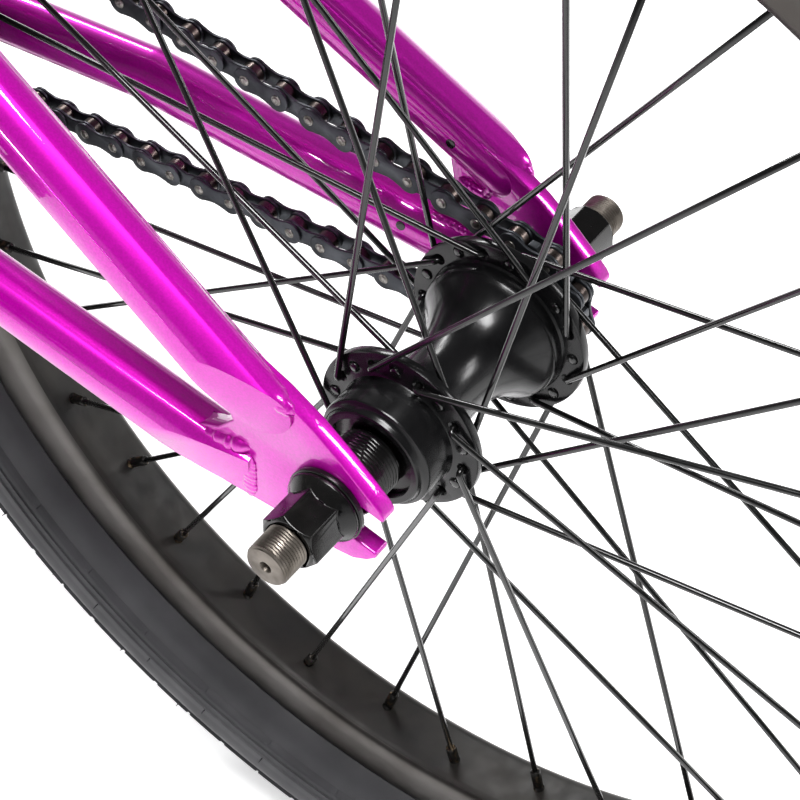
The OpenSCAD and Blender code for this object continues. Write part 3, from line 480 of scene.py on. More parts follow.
class Wheel:
    """Sizes of one wheel, in millimetres and degrees."""

    def __init__(self, name, body, centre, turn, left_face, left_hole_r, right_face, right_hole_r):
        self.name = name
        self.body = body
        self.centre = centre
        self.turn = turn
        self.sides = ((1, left_face, left_hole_r), (-1, right_face, right_hole_r))


REAR_WHEEL = Wheel("rear", "rear_wheel", REAR, 7.9, 27.0, 22.6, 28.6, 26.8)
FRONT_WHEEL = Wheel("front", "front_wheel", FRONT, 18.0, 35.0, 22.3, 35.0, 22.3)


def hole_angle(wheel, side, i):
    """Degrees round the wheel to spoke hole i of a side. The right side is half a step on."""
    return wheel.turn + i * SPOKE_STEP + (0 if side > 0 else SPOKE_STEP / 2)


def spoke_places(wheel):
    """For each spoke: side, radius and angle of its hole, y of its elbow and of its head, and outer end."""
    for side, face, hole_r in wheel.sides:
        for i in range(SPOKES_PER_SIDE):
            angle = hole_angle(wheel, side, i)
            lean = -1 if (i % 2 == 0) == (side > 0) else 1
            outside = lean > 0
            elbow = face + ELBOW_RISE if outside else face - FLANGE_T - SPOKE_R - ELBOW_GAP
            head = face - FLANGE_T - HEAD_RISE if outside else face + HEAD_RISE
            end = wheel.centre + polar(SPOKE_END_R, angle + CROSSING * lean, side * RIM_SPREAD)
            yield side, hole_r, angle, elbow, head, end


def make_spokes(wheel):
    parts = Parts()
    for side, hole_r, angle, elbow, head, end in spoke_places(wheel):
        corner = wheel.centre + polar(hole_r, angle, side * elbow)
        start = wheel.centre + polar(hole_r, angle, side * head)
        inward = (start - corner).normalized()
        outward = (end - corner).normalized()
        bend = BEND_L * MM
        path = [start]
        for k in range(BEND_STEPS + 1):
            t = k / BEND_STEPS
            path.append(corner + inward * bend * (1 - t) ** 2 + outward * bend * t**2)
        path += [corner + outward * d * MM for d in SPOKE_POINTS]
        path.append(end)
        parts.add(*sweep(path, SPOKE_R * MM))
        flat = Vector((0, HEAD_HALF_T, 0)) * MM
        wide = Vector((HEAD_R, 0, 0)) * MM
        tall = Vector((0, 0, HEAD_R)) * MM
        parts.add(*ellipsoid(start, (flat, wide, tall), 6, 12))
    obj = piece(f"{wheel.name}_spoke_set", parts.mesh("spokes"), wheel.body, SPOKE)
    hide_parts(f"{wheel.name}_spokes")


NIPPLE_PROFILE = [
    (1.15, -10.6), (1.75, -10.4), (1.95, -9.9), (1.95, -4.4), (1.6, -4.1), (1.6, -3.4), (2.0, -3.0),
    (2.3, 0.0), (3.0, 0.5), (3.0, 1.4), (2.2, 2.1), (1.15, 2.2),
]
# The square part that a spoke key holds: half its width, and where it starts and stops
SQUARE_HALF = 1.62
SQUARE_Y = (-10.2, -4.2)


def squared(v):
    """A point of a nipple, moved in to the flats where the nipple is square."""
    limit = SQUARE_HALF * MM
    if not SQUARE_Y[0] * MM < v.y < SQUARE_Y[1] * MM:
        return v
    return Vector((max(-limit, min(limit, v.x)), v.y, max(-limit, min(limit, v.z))))


def make_nipples(wheel):
    parts = Parts()
    verts, faces = lathe(NIPPLE_PROFILE, 16)
    flats = [squared(v) for v in verts]
    for side, hole_r, angle, elbow, _, end in spoke_places(wheel):
        corner = wheel.centre + polar(hole_r, angle, side * elbow)
        turn = ACROSS.rotation_difference(end - corner).to_matrix().to_4x4()
        parts.add(flats, faces, Matrix.Translation(end) @ turn)
    obj = piece(f"{wheel.name}_nipple_set", parts.mesh("nipples"), wheel.body, NIPPLE)
    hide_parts(f"{wheel.name}_nipples")


CORE_R = 230.5
SECTION_R = 28.3
TREAD_PERIODS = 44
# Places along one period of the tread, as shares of it
TREAD_COLUMNS = [
    0.0, 0.013, 0.02, 0.03, 0.09, 0.16, 0.25, 0.34, 0.43, 0.465, 0.48, 0.5, 0.52, 0.535, 0.59, 0.66, 0.75,
    0.84, 0.93, 0.97, 0.98, 0.987,
]
# Angles round the section, in degrees from the middle of the tread
TREAD_END = 66
TREAD_ROWS = [0, 4, 5.5, 7, 8.5, 14, 20, 21.5, 24, 25.5, 32, 38, 39.5, 42, 43.5, 50, 56, 60, 63.5, 64.5]
SIDE_ROWS = [
    66, 67, 68, 69.5, 71.5, 74, 77, 80, 83, 85.5, 87.5, 89, 90, 92, 95, 97, 98, 99, 100, 103, 104.5, 105,
    106.5, 107, 110, 111.5, 112, 113, 114.5, 115.5, 118, 121, 124, 127, 130,
]
# Where the sidewall turns into the flat band that runs down to the bead
BAND_ANGLE = 110
BAND_END = (213.2, 15.4)
TREAD_DEPTH = 1.75
LINING_R = 25.3
LINING_ANGLE = 138
LINING_STEP = 12
BEAD_PROFILE = [(212.4, 13.9), (211.7, 13.1), (211.6, 11.0), (205.3, 10.7), (205.2, 7.6), (210, 8.6)]


def block_height(angle, phase):
    """Height of the tread above the tyre's body, from the angle across it and the phase along it."""
    if angle < 1:
        return 0.0
    if angle < 7:
        return 1.7
    if angle < 8:
        return 0.1
    if angle < 21:
        return 0.1 if phase <= 0.02 or phase >= 0.98 else 1.7
    if angle < 25:
        return 0.2
    if angle < 39:
        return 0.1 if 0.48 <= phase <= 0.52 else 1.7
    if angle < 43:
        return 0.2
    if angle < 64:
        if phase <= 0.013 or phase >= 0.987:
            return 1.05
        return 1.2 if 0.48 <= phase <= 0.52 and angle > 52 else 1.6
    return 0.0


def side_relief(angle, phase):
    """Relief of the sidewall in millimetres: a wide rib, thin lines and the marks beside the bead."""
    if 68 <= angle <= 90:
        return 0.8 * math.sin(math.pi * (angle - 68) / 22)
    if 98 <= angle <= 99.5 or 105 <= angle <= 106.5:
        return 0.7
    if 112 <= angle <= 114.5:
        return 0.1 if phase <= 0.035 else 0.8
    if angle > 114.5:
        return 0.35
    return 0.0


def make_tyre(wheel):
    """The tyre with its tread blocks, ridges on the sidewalls, beads and hollow inside."""
    body_r = SECTION_R - TREAD_DEPTH
    half = TREAD_ROWS[1:] + SIDE_ROWS
    across = [-a for a in reversed(half)] + [0] + half
    turns = [math.radians(a) for a in range(LINING_ANGLE, -LINING_ANGLE - 1, -LINING_STEP)]
    lining = [(CORE_R + LINING_R * math.cos(t), LINING_R * math.sin(t)) for t in turns]
    period = 360 / TREAD_PERIODS
    verts = []
    columns = [(k, c) for k in range(TREAD_PERIODS) for c in TREAD_COLUMNS]
    for k, c in columns:
        theta = math.radians((k + c) * period)
        out = Vector((math.cos(theta), 0, math.sin(theta)))
        ring = []
        for a in across:
            phase = c if a >= 0 else (c + 0.5) % 1
            size = abs(a)
            rise = block_height(size, phase) if size < TREAD_END else side_relief(size, phase)
            r = min(SECTION_R, body_r + rise)
            turn = math.radians(min(size, BAND_ANGLE))
            at = Vector((CORE_R + r * math.cos(turn), r * math.sin(turn)))
            if size > BAND_ANGLE:
                share = (size - BAND_ANGLE) / (across[-1] - BAND_ANGLE)
                at = at.lerp(Vector(BAND_END), share)
            ring.append((at.x, at.y if a > 0 else -at.y))
        ring += BEAD_PROFILE + lining
        ring += [(r, -y) for r, y in reversed(BEAD_PROFILE)]
        verts += [wheel.centre + (out * r + Vector((0, y, 0))) * MM for r, y in ring]
    count = len(verts) // len(columns)
    faces = ring_grid(len(columns), count, close_rows=True)
    obj = piece(f"{wheel.name}_tyre_casing", mesh_from("tyre", verts, faces), wheel.body, TYRE)
    obj.data.set_sharp_from_angle(angle=math.radians(38))
    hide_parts(f"{wheel.name}_tyre")
    make_whiskers(wheel)


WHISKER_COUNT = 48
WHISKER_ANGLES = (96, 72)
WHISKER_RADII = [0.32 * MM, 0.26 * MM, 0.12 * MM]
WHISKER_DEPTH = 1.2


def make_whiskers(wheel):
    """Thin rubber hairs that the mould's vents leave on the sidewalls and beside the tread."""
    parts = Parts()
    for side in (-1, 1):
        for k in range(WHISKER_COUNT):
            for row, angle in enumerate(WHISKER_ANGLES):
                if (k * 7 + row * 3 + side) % 5 == 0:
                    continue
                theta = k * (360 / WHISKER_COUNT) + 2.2 * ((k * 13 + row * 5) % 7) / 7 + row * 3
                a = math.radians(angle)
                r = SECTION_R - WHISKER_DEPTH
                root = wheel.centre + polar(CORE_R + r * math.cos(a), theta, side * r * math.sin(a))
                lean = polar(math.cos(a), theta + 12 * ((k * 5) % 3 - 1), side * math.sin(a)) / MM
                long = (1.6 + 0.9 * ((k * 11 + row) % 4) / 3) * MM
                path = [root - lean * 0.4 * MM, root + lean * long * 0.5, root + lean * long]
                parts.add(*sweep(path, WHISKER_RADII, 5))
    piece(f"{wheel.name}_tyre_whiskers", parts.mesh("whiskers"), wheel.body, TYRE)


RIM_PROFILE = [
    (190, 0), (190, 5), (190, 8.6), (190.2, 9.7), (190.7, 10.9), (191.5, 11.9), (192.6, 12.6), (194.2, 13),
    (198, 13), (204, 13), (209.6, 13), (210.7, 12.8), (211.4, 12.3), (211.5, 11.6), (211.2, 11),
    (210.2, 10.8),
    (204.5, 11), (203.4, 10), (202.2, 7), (202, 4),
]
RIM_INNER_R = 190
# Faces nearer the hub than this are the rim's bed, which takes a darker material as painted shade
BED_EDGE_R = 190.6


def make_rim(wheel):
    """The rim, with a flat bed, rounded corners and hooked edges."""
    loop = RIM_PROFILE + [(r, -y) for r, y in reversed(RIM_PROFILE[1:])]
    parts = Parts()
    parts.add(*lathe(loop, 360, closed=True), Matrix.Translation(wheel.centre))
    obj = piece(f"{wheel.name}_rim_hoop", parts.mesh("rim"), wheel.body, RIM)
    obj.data.set_sharp_from_angle(angle=math.radians(32))
    obj.data.materials.append(RIM_BED_SHADE)
    # The bed's faces get the second material: a darker colour that is painted shade in the rim's well
    for face in obj.data.polygons:
        around = face.center - wheel.centre
        if math.hypot(around.x, around.z) < BED_EDGE_R * MM:
            face.material_index = 1
    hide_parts(f"{wheel.name}_rim")


VALVE_ANGLE = 85
VALVE_PROFILE = [
    (0.1, 4.0), (3.9, 4.0), (3.9, -9.0), (3.7, -10.0), (4.7, -10.2), (4.9, -11.0), (4.9, -20.6),
    (4.5, -21.3), (1.6, -21.9), (0.1, -22.0),
]
# The ribbed part of the dust cap
CAP_RIBS = 20
CAP_Y = (-20.8, -10.6)
RIB_DEPTH = 0.045


def make_valve(wheel):
    """The dust cap and the stem of the inner tube, just inside the rim."""
    verts, faces = lathe(VALVE_PROFILE, 40)
    ribbed = []
    for v in verts:
        if CAP_Y[0] * MM < v.y < CAP_Y[1] * MM:
            t = math.atan2(v.z, v.x)
            dip = RIB_DEPTH * (0.5 + 0.5 * math.cos(CAP_RIBS * t))
            v = Vector((v.x, 0, v.z)) * (1 - dip) + Vector((0, v.y, 0))
        ribbed.append(v)
    out = polar(1, wheel.turn + VALVE_ANGLE, 0).normalized()
    turn = ACROSS.rotation_difference(out).to_matrix().to_4x4()
    parts = Parts()
    parts.add(ribbed, faces, Matrix.Translation(wheel.centre + out * RIM_INNER_R * MM) @ turn)
    piece(f"{wheel.name}_valve_cap", parts.mesh("valve"), wheel.body, RUBBER)


REAR_HUB_PROFILE = [
    (14.2, 41.3), (16.0, 41.3), (16.5, 41.0), (16.8, 40.2), (17.1, 39.4), (17.7, 38.9), (18.5, 38.5),
    (18.8, 37.9), (18.8, 28.4), (19.2, 27.4), (20.2, 27), (26.5, 27), (27.1, 26.75), (27.3, 26.2),
    (27.3, 24.4), (27.1, 23.85), (26.5, 23.6), (19.4, 23.6), (18.3, 22.8), (17, 20), (15.7, 17.4),
    (14.7, 15), (13.95, 11.6), (13.55, 8), (13.4, 4), (13.5, 0), (13.8, -3), (14.5, -6.2), (15.8, -9.6),
    (17.5, -13), (19.6, -16.2), (21.8, -18.8), (23.1, -20.2), (23.6, -21.4), (23.6, -24.5), (24.2, -25.2),
    (30, -25.2), (30.6, -25.45), (30.8, -26), (30.8, -27.8), (30.6, -28.35), (30, -28.6), (17, -28.6),
    (16, -30.1), (14, -30.1), (14, -20.2), (10.5, -20.2), (10.5, 32), (14, 32), (14, 41),
]
# A spoke hole with its countersinks, from the middle of the flange
BORE_PROFILE = [(0.01, -2.4), (2.7, -2.4), (1.3, -1.0), (1.3, 1.0), (2.7, 2.4), (0.01, 2.4)]


def hole_cutters(wheel):
    """Solids that cut the spoke holes, each with a countersink at both faces of its flange."""
    parts = Parts()
    for side, face, hole_r in wheel.sides:
        middle = face - FLANGE_T / 2
        verts, faces = lathe(BORE_PROFILE, 24)
        for i in range(SPOKES_PER_SIDE):
            angle = hole_angle(wheel, side, i)
            parts.add(verts, faces, Matrix.Translation(wheel.centre + polar(hole_r, angle, side * middle)))
    return parts.mesh("cutters")


def make_rear_hub():
    """The rear hub's shell, with its spoke holes cut through both flanges."""
    parts = Parts()
    parts.add(*lathe(REAR_HUB_PROFILE, 144, closed=True), Matrix.Translation(REAR))
    obj = bpy.data.objects.new("hub_blank", parts.mesh("hub"))
    cutter = bpy.data.objects.new("hub_cutter", hole_cutters(REAR_WHEEL))
    for made in (obj, cutter):
        bpy.context.scene.collection.objects.link(made)
    cut = obj.modifiers.new("cut", "BOOLEAN")
    cut.operation = "DIFFERENCE"
    cut.solver = "EXACT"
    cut.object = cutter
    bpy.context.view_layer.update()
    mesh = bpy.data.meshes.new_from_object(obj.evaluated_get(bpy.context.evaluated_depsgraph_get()))
    for made in (obj, cutter):
        bpy.data.objects.remove(made)
    shell = piece("rear_hub_shell", mesh, "rear_wheel", ANODISED)
    shell.data.set_sharp_from_angle(angle=math.radians(30))
    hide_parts("rear_hub")


# ---------------------------------------------------------------- axles and threads


ROWS_PER_TURN = 4
# Over this length at each end the thread runs out and the rod thins
THREAD_FADE = 0.8
END_THINNING = 0.7


def threaded_rod(y0, y1, r, pitch=1.0, depth=0.5, count=48):
    """A rod along Y with a helical thread that fades at both ends. Millimetres."""
    rows = int((y1 - y0) / pitch * ROWS_PER_TURN)
    verts = []
    for i in range(rows + 1):
        y = y0 + (y1 - y0) * i / rows
        fade = min(1, (y - y0) / THREAD_FADE, (y1 - y) / THREAD_FADE)
        for j in range(count):
            wave = abs(((y / pitch - j / count) % 1) * 2 - 1)
            size = r - depth * (1 - wave) - (1 - fade) * END_THINNING
            t = math.tau * j / count
            verts.append(Vector((size * math.cos(t), y, size * math.sin(t))) * MM)
    return verts, ring_grid(rows + 1, count, False, False)


def axle(name, node, centre, body, r, half, seat):
    """An axle of half length half, threaded outside seat, with a centre hole in each end. Millimetres."""
    parts = Parts()
    for side in (1, -1):
        flip = Matrix.Translation(centre) @ Matrix.Diagonal((1, side, 1, 1))
        parts.add(*threaded_rod(seat, half - 0.05, r), flip)
        face = [
            (r - 0.72, half - 0.08), (r - 1.1, half), (2.0, half), (1.6, half - 0.6), (1.4, half - 4),
            (0.02, half - 4.6),
        ]
        verts, faces = lathe(face, 48)
        parts.add(verts, ring_grid(len(face), 48), flip)
    verts, faces = lathe([(r - 0.3, -seat - 0.5), (r - 0.3, seat + 0.5)], 48)
    parts.add(verts, faces, Matrix.Translation(centre))
    obj = piece(name, parts.mesh(name), body, STEEL)
    obj.data.set_sharp_from_angle(angle=math.radians(50))
    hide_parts(node)


def make_axles():
    axle("rear_axle_rod", "rear_axle", REAR, "frame", r=7.0, half=90, seat=62)
    axle("front_axle_rod", "front_axle", FRONT, "steering", r=5.0, half=74, seat=54)


RIGHT_CONE_PROFILE = [
    (7.1, -47.3), (8.9, -47.3), (9.3, -47.7), (9.3, -50.2), (10.2, -50.5), (10.5, -50.9), (10.5, -54.6),
    (10.2, -54.95), (7.1, -54.95),
]


def make_cones():
    """The threaded cone and spacers left of the rear hub, and the locknut right of it."""
    parts = Parts()
    here = Matrix.Translation(REAR)
    parts.add(*threaded_rod(40.15, 54.95, 10.6, 1.25, 0.6, 96), here)
    for y0, y1 in ((40.2, 40.7), (54.4, 54.9)):
        parts.add(*lathe([(7.1, y0), (9.7, y0), (9.7, y1), (7.1, y1)], 64, closed=True), here)
    parts.add(*lathe(RIGHT_CONE_PROFILE, 64, closed=True), here)
    obj = piece("rear_cone_set", parts.mesh("cones"), "frame", PLATED)
    obj.data.set_sharp_from_angle(angle=math.radians(40))
    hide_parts("rear_axle_cones")


# ---------------------------------------------------------------- chain

PITCH = 12.7
SPROCKET_TEETH = 24
DRIVER_TEETH = 9
LINKS = 72
CHAIN_LINE = 43.0
CHAIN_OFFSET = 0.319
STAY = math.hypot(CRANK.x - REAR.x, CRANK.z - REAR.z) / MM
SPROCKET_R = PITCH / (2 * math.sin(math.pi / SPROCKET_TEETH))
DRIVER_R = PITCH / (2 * math.sin(math.pi / DRIVER_TEETH))
DRIVE_SLOPE = math.atan2(CRANK.z - REAR.z, CRANK.x - REAR.x)
RUN_ANGLE = math.degrees(math.asin((SPROCKET_R - DRIVER_R) / STAY))
DRIVER_WRAP = (180 - 2 * RUN_ANGLE) / (360 / DRIVER_TEETH)
SPROCKET_WRAP = (180 + 2 * RUN_ANGLE) / (360 / SPROCKET_TEETH)
RUN_WRAP = (LINKS - DRIVER_WRAP - SPROCKET_WRAP) / 2


def circle_point(r, degrees, x=0.0):
    t = math.radians(degrees)
    return Vector((x + r * math.cos(t), r * math.sin(t)))


def chain_point(s):
    """Place on the chain's line, s pitches on from the top of the driver, in the drive's own plane."""
    s %= LINKS
    low_driver = circle_point(DRIVER_R, 270 - RUN_ANGLE)
    low_sprocket = circle_point(SPROCKET_R, 270 - RUN_ANGLE, STAY)
    high_sprocket = circle_point(SPROCKET_R, 90 + RUN_ANGLE, STAY)
    high_driver = circle_point(DRIVER_R, 90 + RUN_ANGLE)
    if s < DRIVER_WRAP:
        return circle_point(DRIVER_R, 90 + RUN_ANGLE + s * 360 / DRIVER_TEETH)
    s -= DRIVER_WRAP
    if s < RUN_WRAP:
        return low_driver.lerp(low_sprocket, s / RUN_WRAP)
    s -= RUN_WRAP
    if s < SPROCKET_WRAP:
        return circle_point(SPROCKET_R, 270 - RUN_ANGLE + s * 360 / SPROCKET_TEETH, STAY)
    s -= SPROCKET_WRAP
    return high_sprocket.lerp(high_driver, s / RUN_WRAP)


def link_place(i):
    """Matrix that puts a link, drawn along X from its first pin, between pins i and i + 1."""
    a = chain_point(i + CHAIN_OFFSET)
    b = chain_point(i + 1 + CHAIN_OFFSET)
    base = Matrix.Translation(REAR + Vector((0, -CHAIN_LINE * MM, 0))) @ Matrix.Rotation(-DRIVE_SLOPE, 4, "Y")
    along = Matrix.Rotation(-math.atan2(b.y - a.y, b.x - a.x), 4, "Y")
    return base @ Matrix.Translation(Vector((a.x, 0, a.y)) * MM) @ along


PLATE_END_R = 4.25
PLATE_END_ANGLE = 118
PLATE_END_STEPS = 12
PLATE_WAIST = 2.95
PLATE_CHAMFER = 0.18
ROLLER_PROFILE = [(2.2, -1.55), (3.5, -1.55), (3.85, -1.25), (3.85, 1.25), (3.5, 1.55), (2.2, 1.55)]
PIN_PROFILE = [
    (0.3, -4.3), (0.75, -4.45), (1.15, -4.3), (1.3, -4.15), (1.7, -4.1), (1.85, -3.9), (1.85, 3.9),
    (1.7, 4.1), (1.3, 4.15), (1.15, 4.3), (0.75, 4.45), (0.3, 4.3),
]
BUSHING_PROFILE = [(1.9, -2.75), (2.6, -2.75), (2.6, 2.75), (1.9, 2.75)]


def plate_outline():
    """Outline of a chain plate: a round end at each pin and a hollow waist between them."""
    points = []
    for k in range(-PLATE_END_STEPS, PLATE_END_STEPS + 1):
        t = math.radians(PLATE_END_ANGLE * k / PLATE_END_STEPS)
        points.append((PITCH + PLATE_END_R * math.cos(t), PLATE_END_R * math.sin(t)))
    points += [(PITCH * f, PLATE_WAIST + 0.32 * abs(f - 0.5) * 4) for f in (0.62, 0.5, 0.38)]
    mirrored = [(PITCH - x, -z) for x, z in points]
    return points + mirrored


def rounded_plate(y0, y1):
    """A plate of the chain between two y values, with its edges rounded. Millimetres."""
    outline = plate_outline()
    chamfer = PLATE_CHAMFER
    rows = [(y0, -chamfer), (y0 + chamfer * 0.4, -chamfer * 0.3), (y0 + chamfer, 0)]
    rows += [(y1 - chamfer, 0), (y1 - chamfer * 0.4, -chamfer * 0.3), (y1, -chamfer)]
    verts = []
    for y, inset in rows:
        for x, z in outline:
            nearest = Vector((min(max(x, 0), PITCH), 0))
            away = (Vector((x, z)) - nearest).normalized()
            verts.append(Vector((x + away.x * inset, y, z + away.y * inset)) * MM)
    return verts, ring_grid(len(rows), len(outline), False, True)


def make_chain():
    inner = Parts()
    outer = Parts()
    rollers = Parts()
    pins = Parts()
    for i in range(LINKS):
        place = link_place(i)
        if i % 2 == 0:
            for y0, y1 in ((1.65, 2.65), (-2.65, -1.65)):
                inner.add(*rounded_plate(y0, y1), place)
            for x in (0, PITCH):
                there = place @ Matrix.Translation((x * MM, 0, 0))
                rollers.add(*lathe(ROLLER_PROFILE, 24, closed=True), there)
                inner.add(*lathe(BUSHING_PROFILE, 20, closed=True), there)
        else:
            for y0, y1 in ((2.85, 3.85), (-3.85, -2.85)):
                outer.add(*rounded_plate(y0, y1), place)
            for x in (0, PITCH):
                pins.add(*lathe(PIN_PROFILE, 20), place @ Matrix.Translation((x * MM, 0, 0)))
    inner_obj = piece("chain_inner_plates", inner.mesh("inner_plates"), "frame", PLATE)
    outer_obj = piece("chain_outer_plates", outer.mesh("outer_plates"), "frame", PLATE)
    roller_obj = piece("chain_rollers", rollers.mesh("rollers"), "frame", ROLLER)
    pin_obj = piece("chain_pins", pins.mesh("pins"), "frame", PIN)
    for obj in (inner_obj, outer_obj, roller_obj, pin_obj):
        obj.data.set_sharp_from_angle(angle=math.radians(40))
    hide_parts("chain_inner_links")
    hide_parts("chain_outer_links")


# ---------------------------------------------------------------- welds

RIPPLE = 2.3
BEAD_STEP = 0.25


def bead(parts, path, radius, ripple=RIPPLE, squash=1.0):
    """A run of weld along points in metres: a tube with the ripples of its pools.
    radius and ripple are in millimetres, and squash flattens the run sideways."""
    lengths = [0.0]
    for a, b in zip(path, path[1:]):
        lengths.append(lengths[-1] + (b - a).length)
    total = lengths[-1]
    steps = max(4, int(total / (BEAD_STEP * MM)))
    points = []
    radii = []
    i = 0
    for k in range(steps + 1):
        s = total * k / steps
        while i < len(path) - 2 and lengths[i + 1] < s:
            i += 1
        f = (s - lengths[i]) / max(1e-9, lengths[i + 1] - lengths[i])
        points.append(path[i].lerp(path[i + 1], f))
        phase = math.tau * s / MM / ripple + 0.8 * math.sin(s / MM * 0.9)
        end = math.sqrt(min(1, 0.04 + min(s, total - s) / (1.4 * radius * MM)))
        radii.append(radius * MM * end * (0.95 + 0.06 * math.cos(phase) + 0.04 * math.sin(s / MM * 1.7)))
    verts, faces = sweep(points, radii, 14)
    middle = sum(q.y for q in path) / len(path)
    parts.add([Vector((v[0], middle + (v[1] - middle) * squash, v[2])) for v in verts], faces)


def cope(start, direction, r, line_point, line_dir, line_r, count=48):
    """Points where a round tube meets the outside of another round tube. Metres."""
    d = direction.normalized()
    e = line_dir.normalized()
    u = d.orthogonal().normalized()
    v = d.cross(u)
    points = []
    for j in range(count + 1):
        t = math.tau * j / count
        origin = start + (u * math.cos(t) + v * math.sin(t)) * r
        w = origin - line_point
        a = d - e * d.dot(e)
        b = w - e * w.dot(e)
        qa = a.dot(a)
        qb = 2 * a.dot(b)
        qc = b.dot(b) - line_r**2
        root = qb * qb - 4 * qa * qc
        if root >= 0:
            points.append(origin + d * ((-qb + math.sqrt(root)) / (2 * qa)))
    return points


TOP_TUBE_R = 17.5
DOWN_TUBE_R = 19.0
SEAT_TUBE_R = 14.3
HEAD_TUBE_R = 24.5
BRACKET_R = 23.0
WELD_R = 2.2
STAY_WELD_R = 1.9
# The front axle stands this far ahead of the steering line
FORK_OFFSET = 30
STEER_BASE = FRONT - STEER_FORWARD * FORK_OFFSET * MM


def on_seat_tube(height):
    """Point of the seat tube's line, height millimetres up from the crank's axis."""
    return CRANK + SEAT_UP * height * MM


def on_steerer(height):
    """Point of the steering line, height millimetres up from beside the front axle."""
    return STEER_BASE + STEER_UP * height * MM


TOP_TUBE_FRONT = on_steerer(408)
TOP_TUBE_REAR = on_seat_tube(209)
DOWN_TUBE_FRONT = on_steerer(344)
SEAT_TUBE_HIGH = on_seat_tube(230)


def make_frame_welds():
    parts = Parts()
    tubes = [
        (TOP_TUBE_FRONT, TOP_TUBE_REAR, TOP_TUBE_R, on_seat_tube(0), SEAT_UP, SEAT_TUBE_R),
        (TOP_TUBE_REAR, TOP_TUBE_FRONT, TOP_TUBE_R, on_steerer(0), STEER_UP, HEAD_TUBE_R),
        (CRANK, DOWN_TUBE_FRONT, DOWN_TUBE_R, on_steerer(0), STEER_UP, HEAD_TUBE_R),
        (DOWN_TUBE_FRONT, CRANK, DOWN_TUBE_R, CRANK, ACROSS, BRACKET_R),
        (SEAT_TUBE_HIGH, CRANK, SEAT_TUBE_R, CRANK, ACROSS, BRACKET_R),
    ]
    for near, far, r, point, line, line_r in tubes:
        direction = near - far
        path = cope(far, -direction, r * MM, point, line, line_r * MM)
        bead(parts, path, WELD_R)
    piece("main_tube_welds", parts.mesh("main_welds"), "frame", CANDY)


STAY_R = 9.5
CHAIN_STAY = [Vector((28, 58.4, -7.1)), Vector((155, 52, 12.1)), Vector((338, 22.3, 35.2))]
SEAT_STAY = [Vector((20.8, 62.5, 26.8)), Vector((215, 44.6, 147.6)), Vector((298, 12.5, 198.6))]
# Runs of weld at a rear dropout, from the rear axle on the left side: radius, ripple, flattening, points
DROPOUT_WELDS = [
    (
        2.7, 3.4, 1.0,
        [(27, 59.6, 35), (22.5, 60.6, 33.4), (18, 61, 31.4), (13.8, 61, 30.2), (10.6, 60.2, 27.8)],
    ),
    (3.1, 3.6, 1.0, [(46, 59, 1.2), (40.5, 59.8, 2.4), (35, 60, 3.0), (30, 60.1, 4.4), (27, 59.6, 5.6)]),
    (2.6, 1.7, 0.28, [(28.6, 61.1, -15.4), (28.2, 61.1, -6), (27.8, 61.1, 2.6)]),
    (1.8, 2.3, 1.0, [(38, 54.8, 38), (26, 54.8, 34), (20, 54.8, 27), (24, 54.8, 20), (34, 54.8, 22)]),
    (1.8, 2.3, 1.0, [(45, 54.8, 3), (30, 54.8, 1.5), (27.6, 54.8, -6), (30, 54.8, -14.6), (44, 54.8, -13.4)]),
]


def make_stay_welds():
    parts = Parts()
    for sign in (1, -1):
        for radius, ripple, squash, line in DROPOUT_WELDS:
            bead(parts, [REAR + Vector((x, sign * y, z)) * MM for x, y, z in line], radius, ripple, squash)
        for line, target, axis, r in (
            (CHAIN_STAY, CRANK, ACROSS, BRACKET_R),
            (SEAT_STAY, CRANK, SEAT_UP, SEAT_TUBE_R),
        ):
            a = REAR + Vector((line[1].x, sign * line[1].y, line[1].z)) * MM
            b = REAR + Vector((line[2].x, sign * line[2].y, line[2].z)) * MM
            path = cope(a, b - a, STAY_R * MM, target, axis, r * MM)
            if len(path) > 3:
                bead(parts, path, STAY_WELD_R)
    piece("stay_welds", parts.mesh("stay_welds"), "frame", CANDY)


# Drain holes of the right stays, each a thin dark patch on the tube that is painted shade for the inside of
# the hole: which stay, how far along its first part, and the turn round it
DRAIN_HOLES = [(SEAT_STAY, 0.08, 0.1), (CHAIN_STAY, 0.19, 0.25)]


def make_drain_holes():
    parts = Parts()
    for line, share, turn in DRAIN_HOLES:
        a, b = (REAR + Vector((p.x, -p.y, p.z)) * MM for p in line[:2])
        along = (b - a).normalized()
        side = (ACROSS - along * ACROSS.dot(along)).normalized()
        out = (Matrix.Rotation(turn, 3, along) @ side).normalized()
        at = a.lerp(b, share) + out * (STAY_R - 0.02) * MM
        # A flat dark patch on the stay's surface, painted shade in place of the open hole
        parts.add(*ellipsoid(at, (out * 0.12 * MM, along * 1.7 * MM, along.cross(out) * 1.6 * MM), 8, 20))
    piece("drain_hole_shade", parts.mesh("drain_hole_shade"), "frame", SPOKE)


# ---------------------------------------------------------------- saddle and grips


SADDLE_COUNT = 96
# Circles as (x, y, radius) that the saddle's outline is stretched round
SADDLE_CIRCLES = [(-62, 32, 30), (-62, -32, 30), (128, 0, 22)]
# From the back of the pad to its pivot
SADDLE_BACK = 91
SADDLE_H = 28
TAIL_START = 20
TAIL_L = 72
TAIL_LIFT = 5.0


def saddle_outline(inset):
    """Rounded outline of the saddle seen from above, about its pivot. Millimetres."""
    count = SADDLE_COUNT
    points = []
    for k in range(count):
        t = math.tau * k / count
        x, y = math.cos(t), math.sin(t)
        cx, cy, r = max(SADDLE_CIRCLES, key=lambda c: c[0] * x + c[1] * y + c[2])
        points.append(Vector((cx + (r - inset) * x, cy + (r - inset) * y)))
    smooth = []
    for k in range(count):
        near = [points[(k + d) % count] for d in range(-5, 6)]
        smooth.append(sum(near, Vector((0, 0))) / len(near))
    return smooth


SADDLE_ROWS = [
    (2.0, 0.0), (0.6, 1.5), (0.0, 4.0), (0.0, 7.5), (0.9, 8.3), (0.9, 9.1), (0.2, 10.0), (1.2, 15.0),
    (3.6, 20.0), (7.5, 24.0), (12.0, 26.4), (17.0, 27.6), (20.5, 28.0),
]


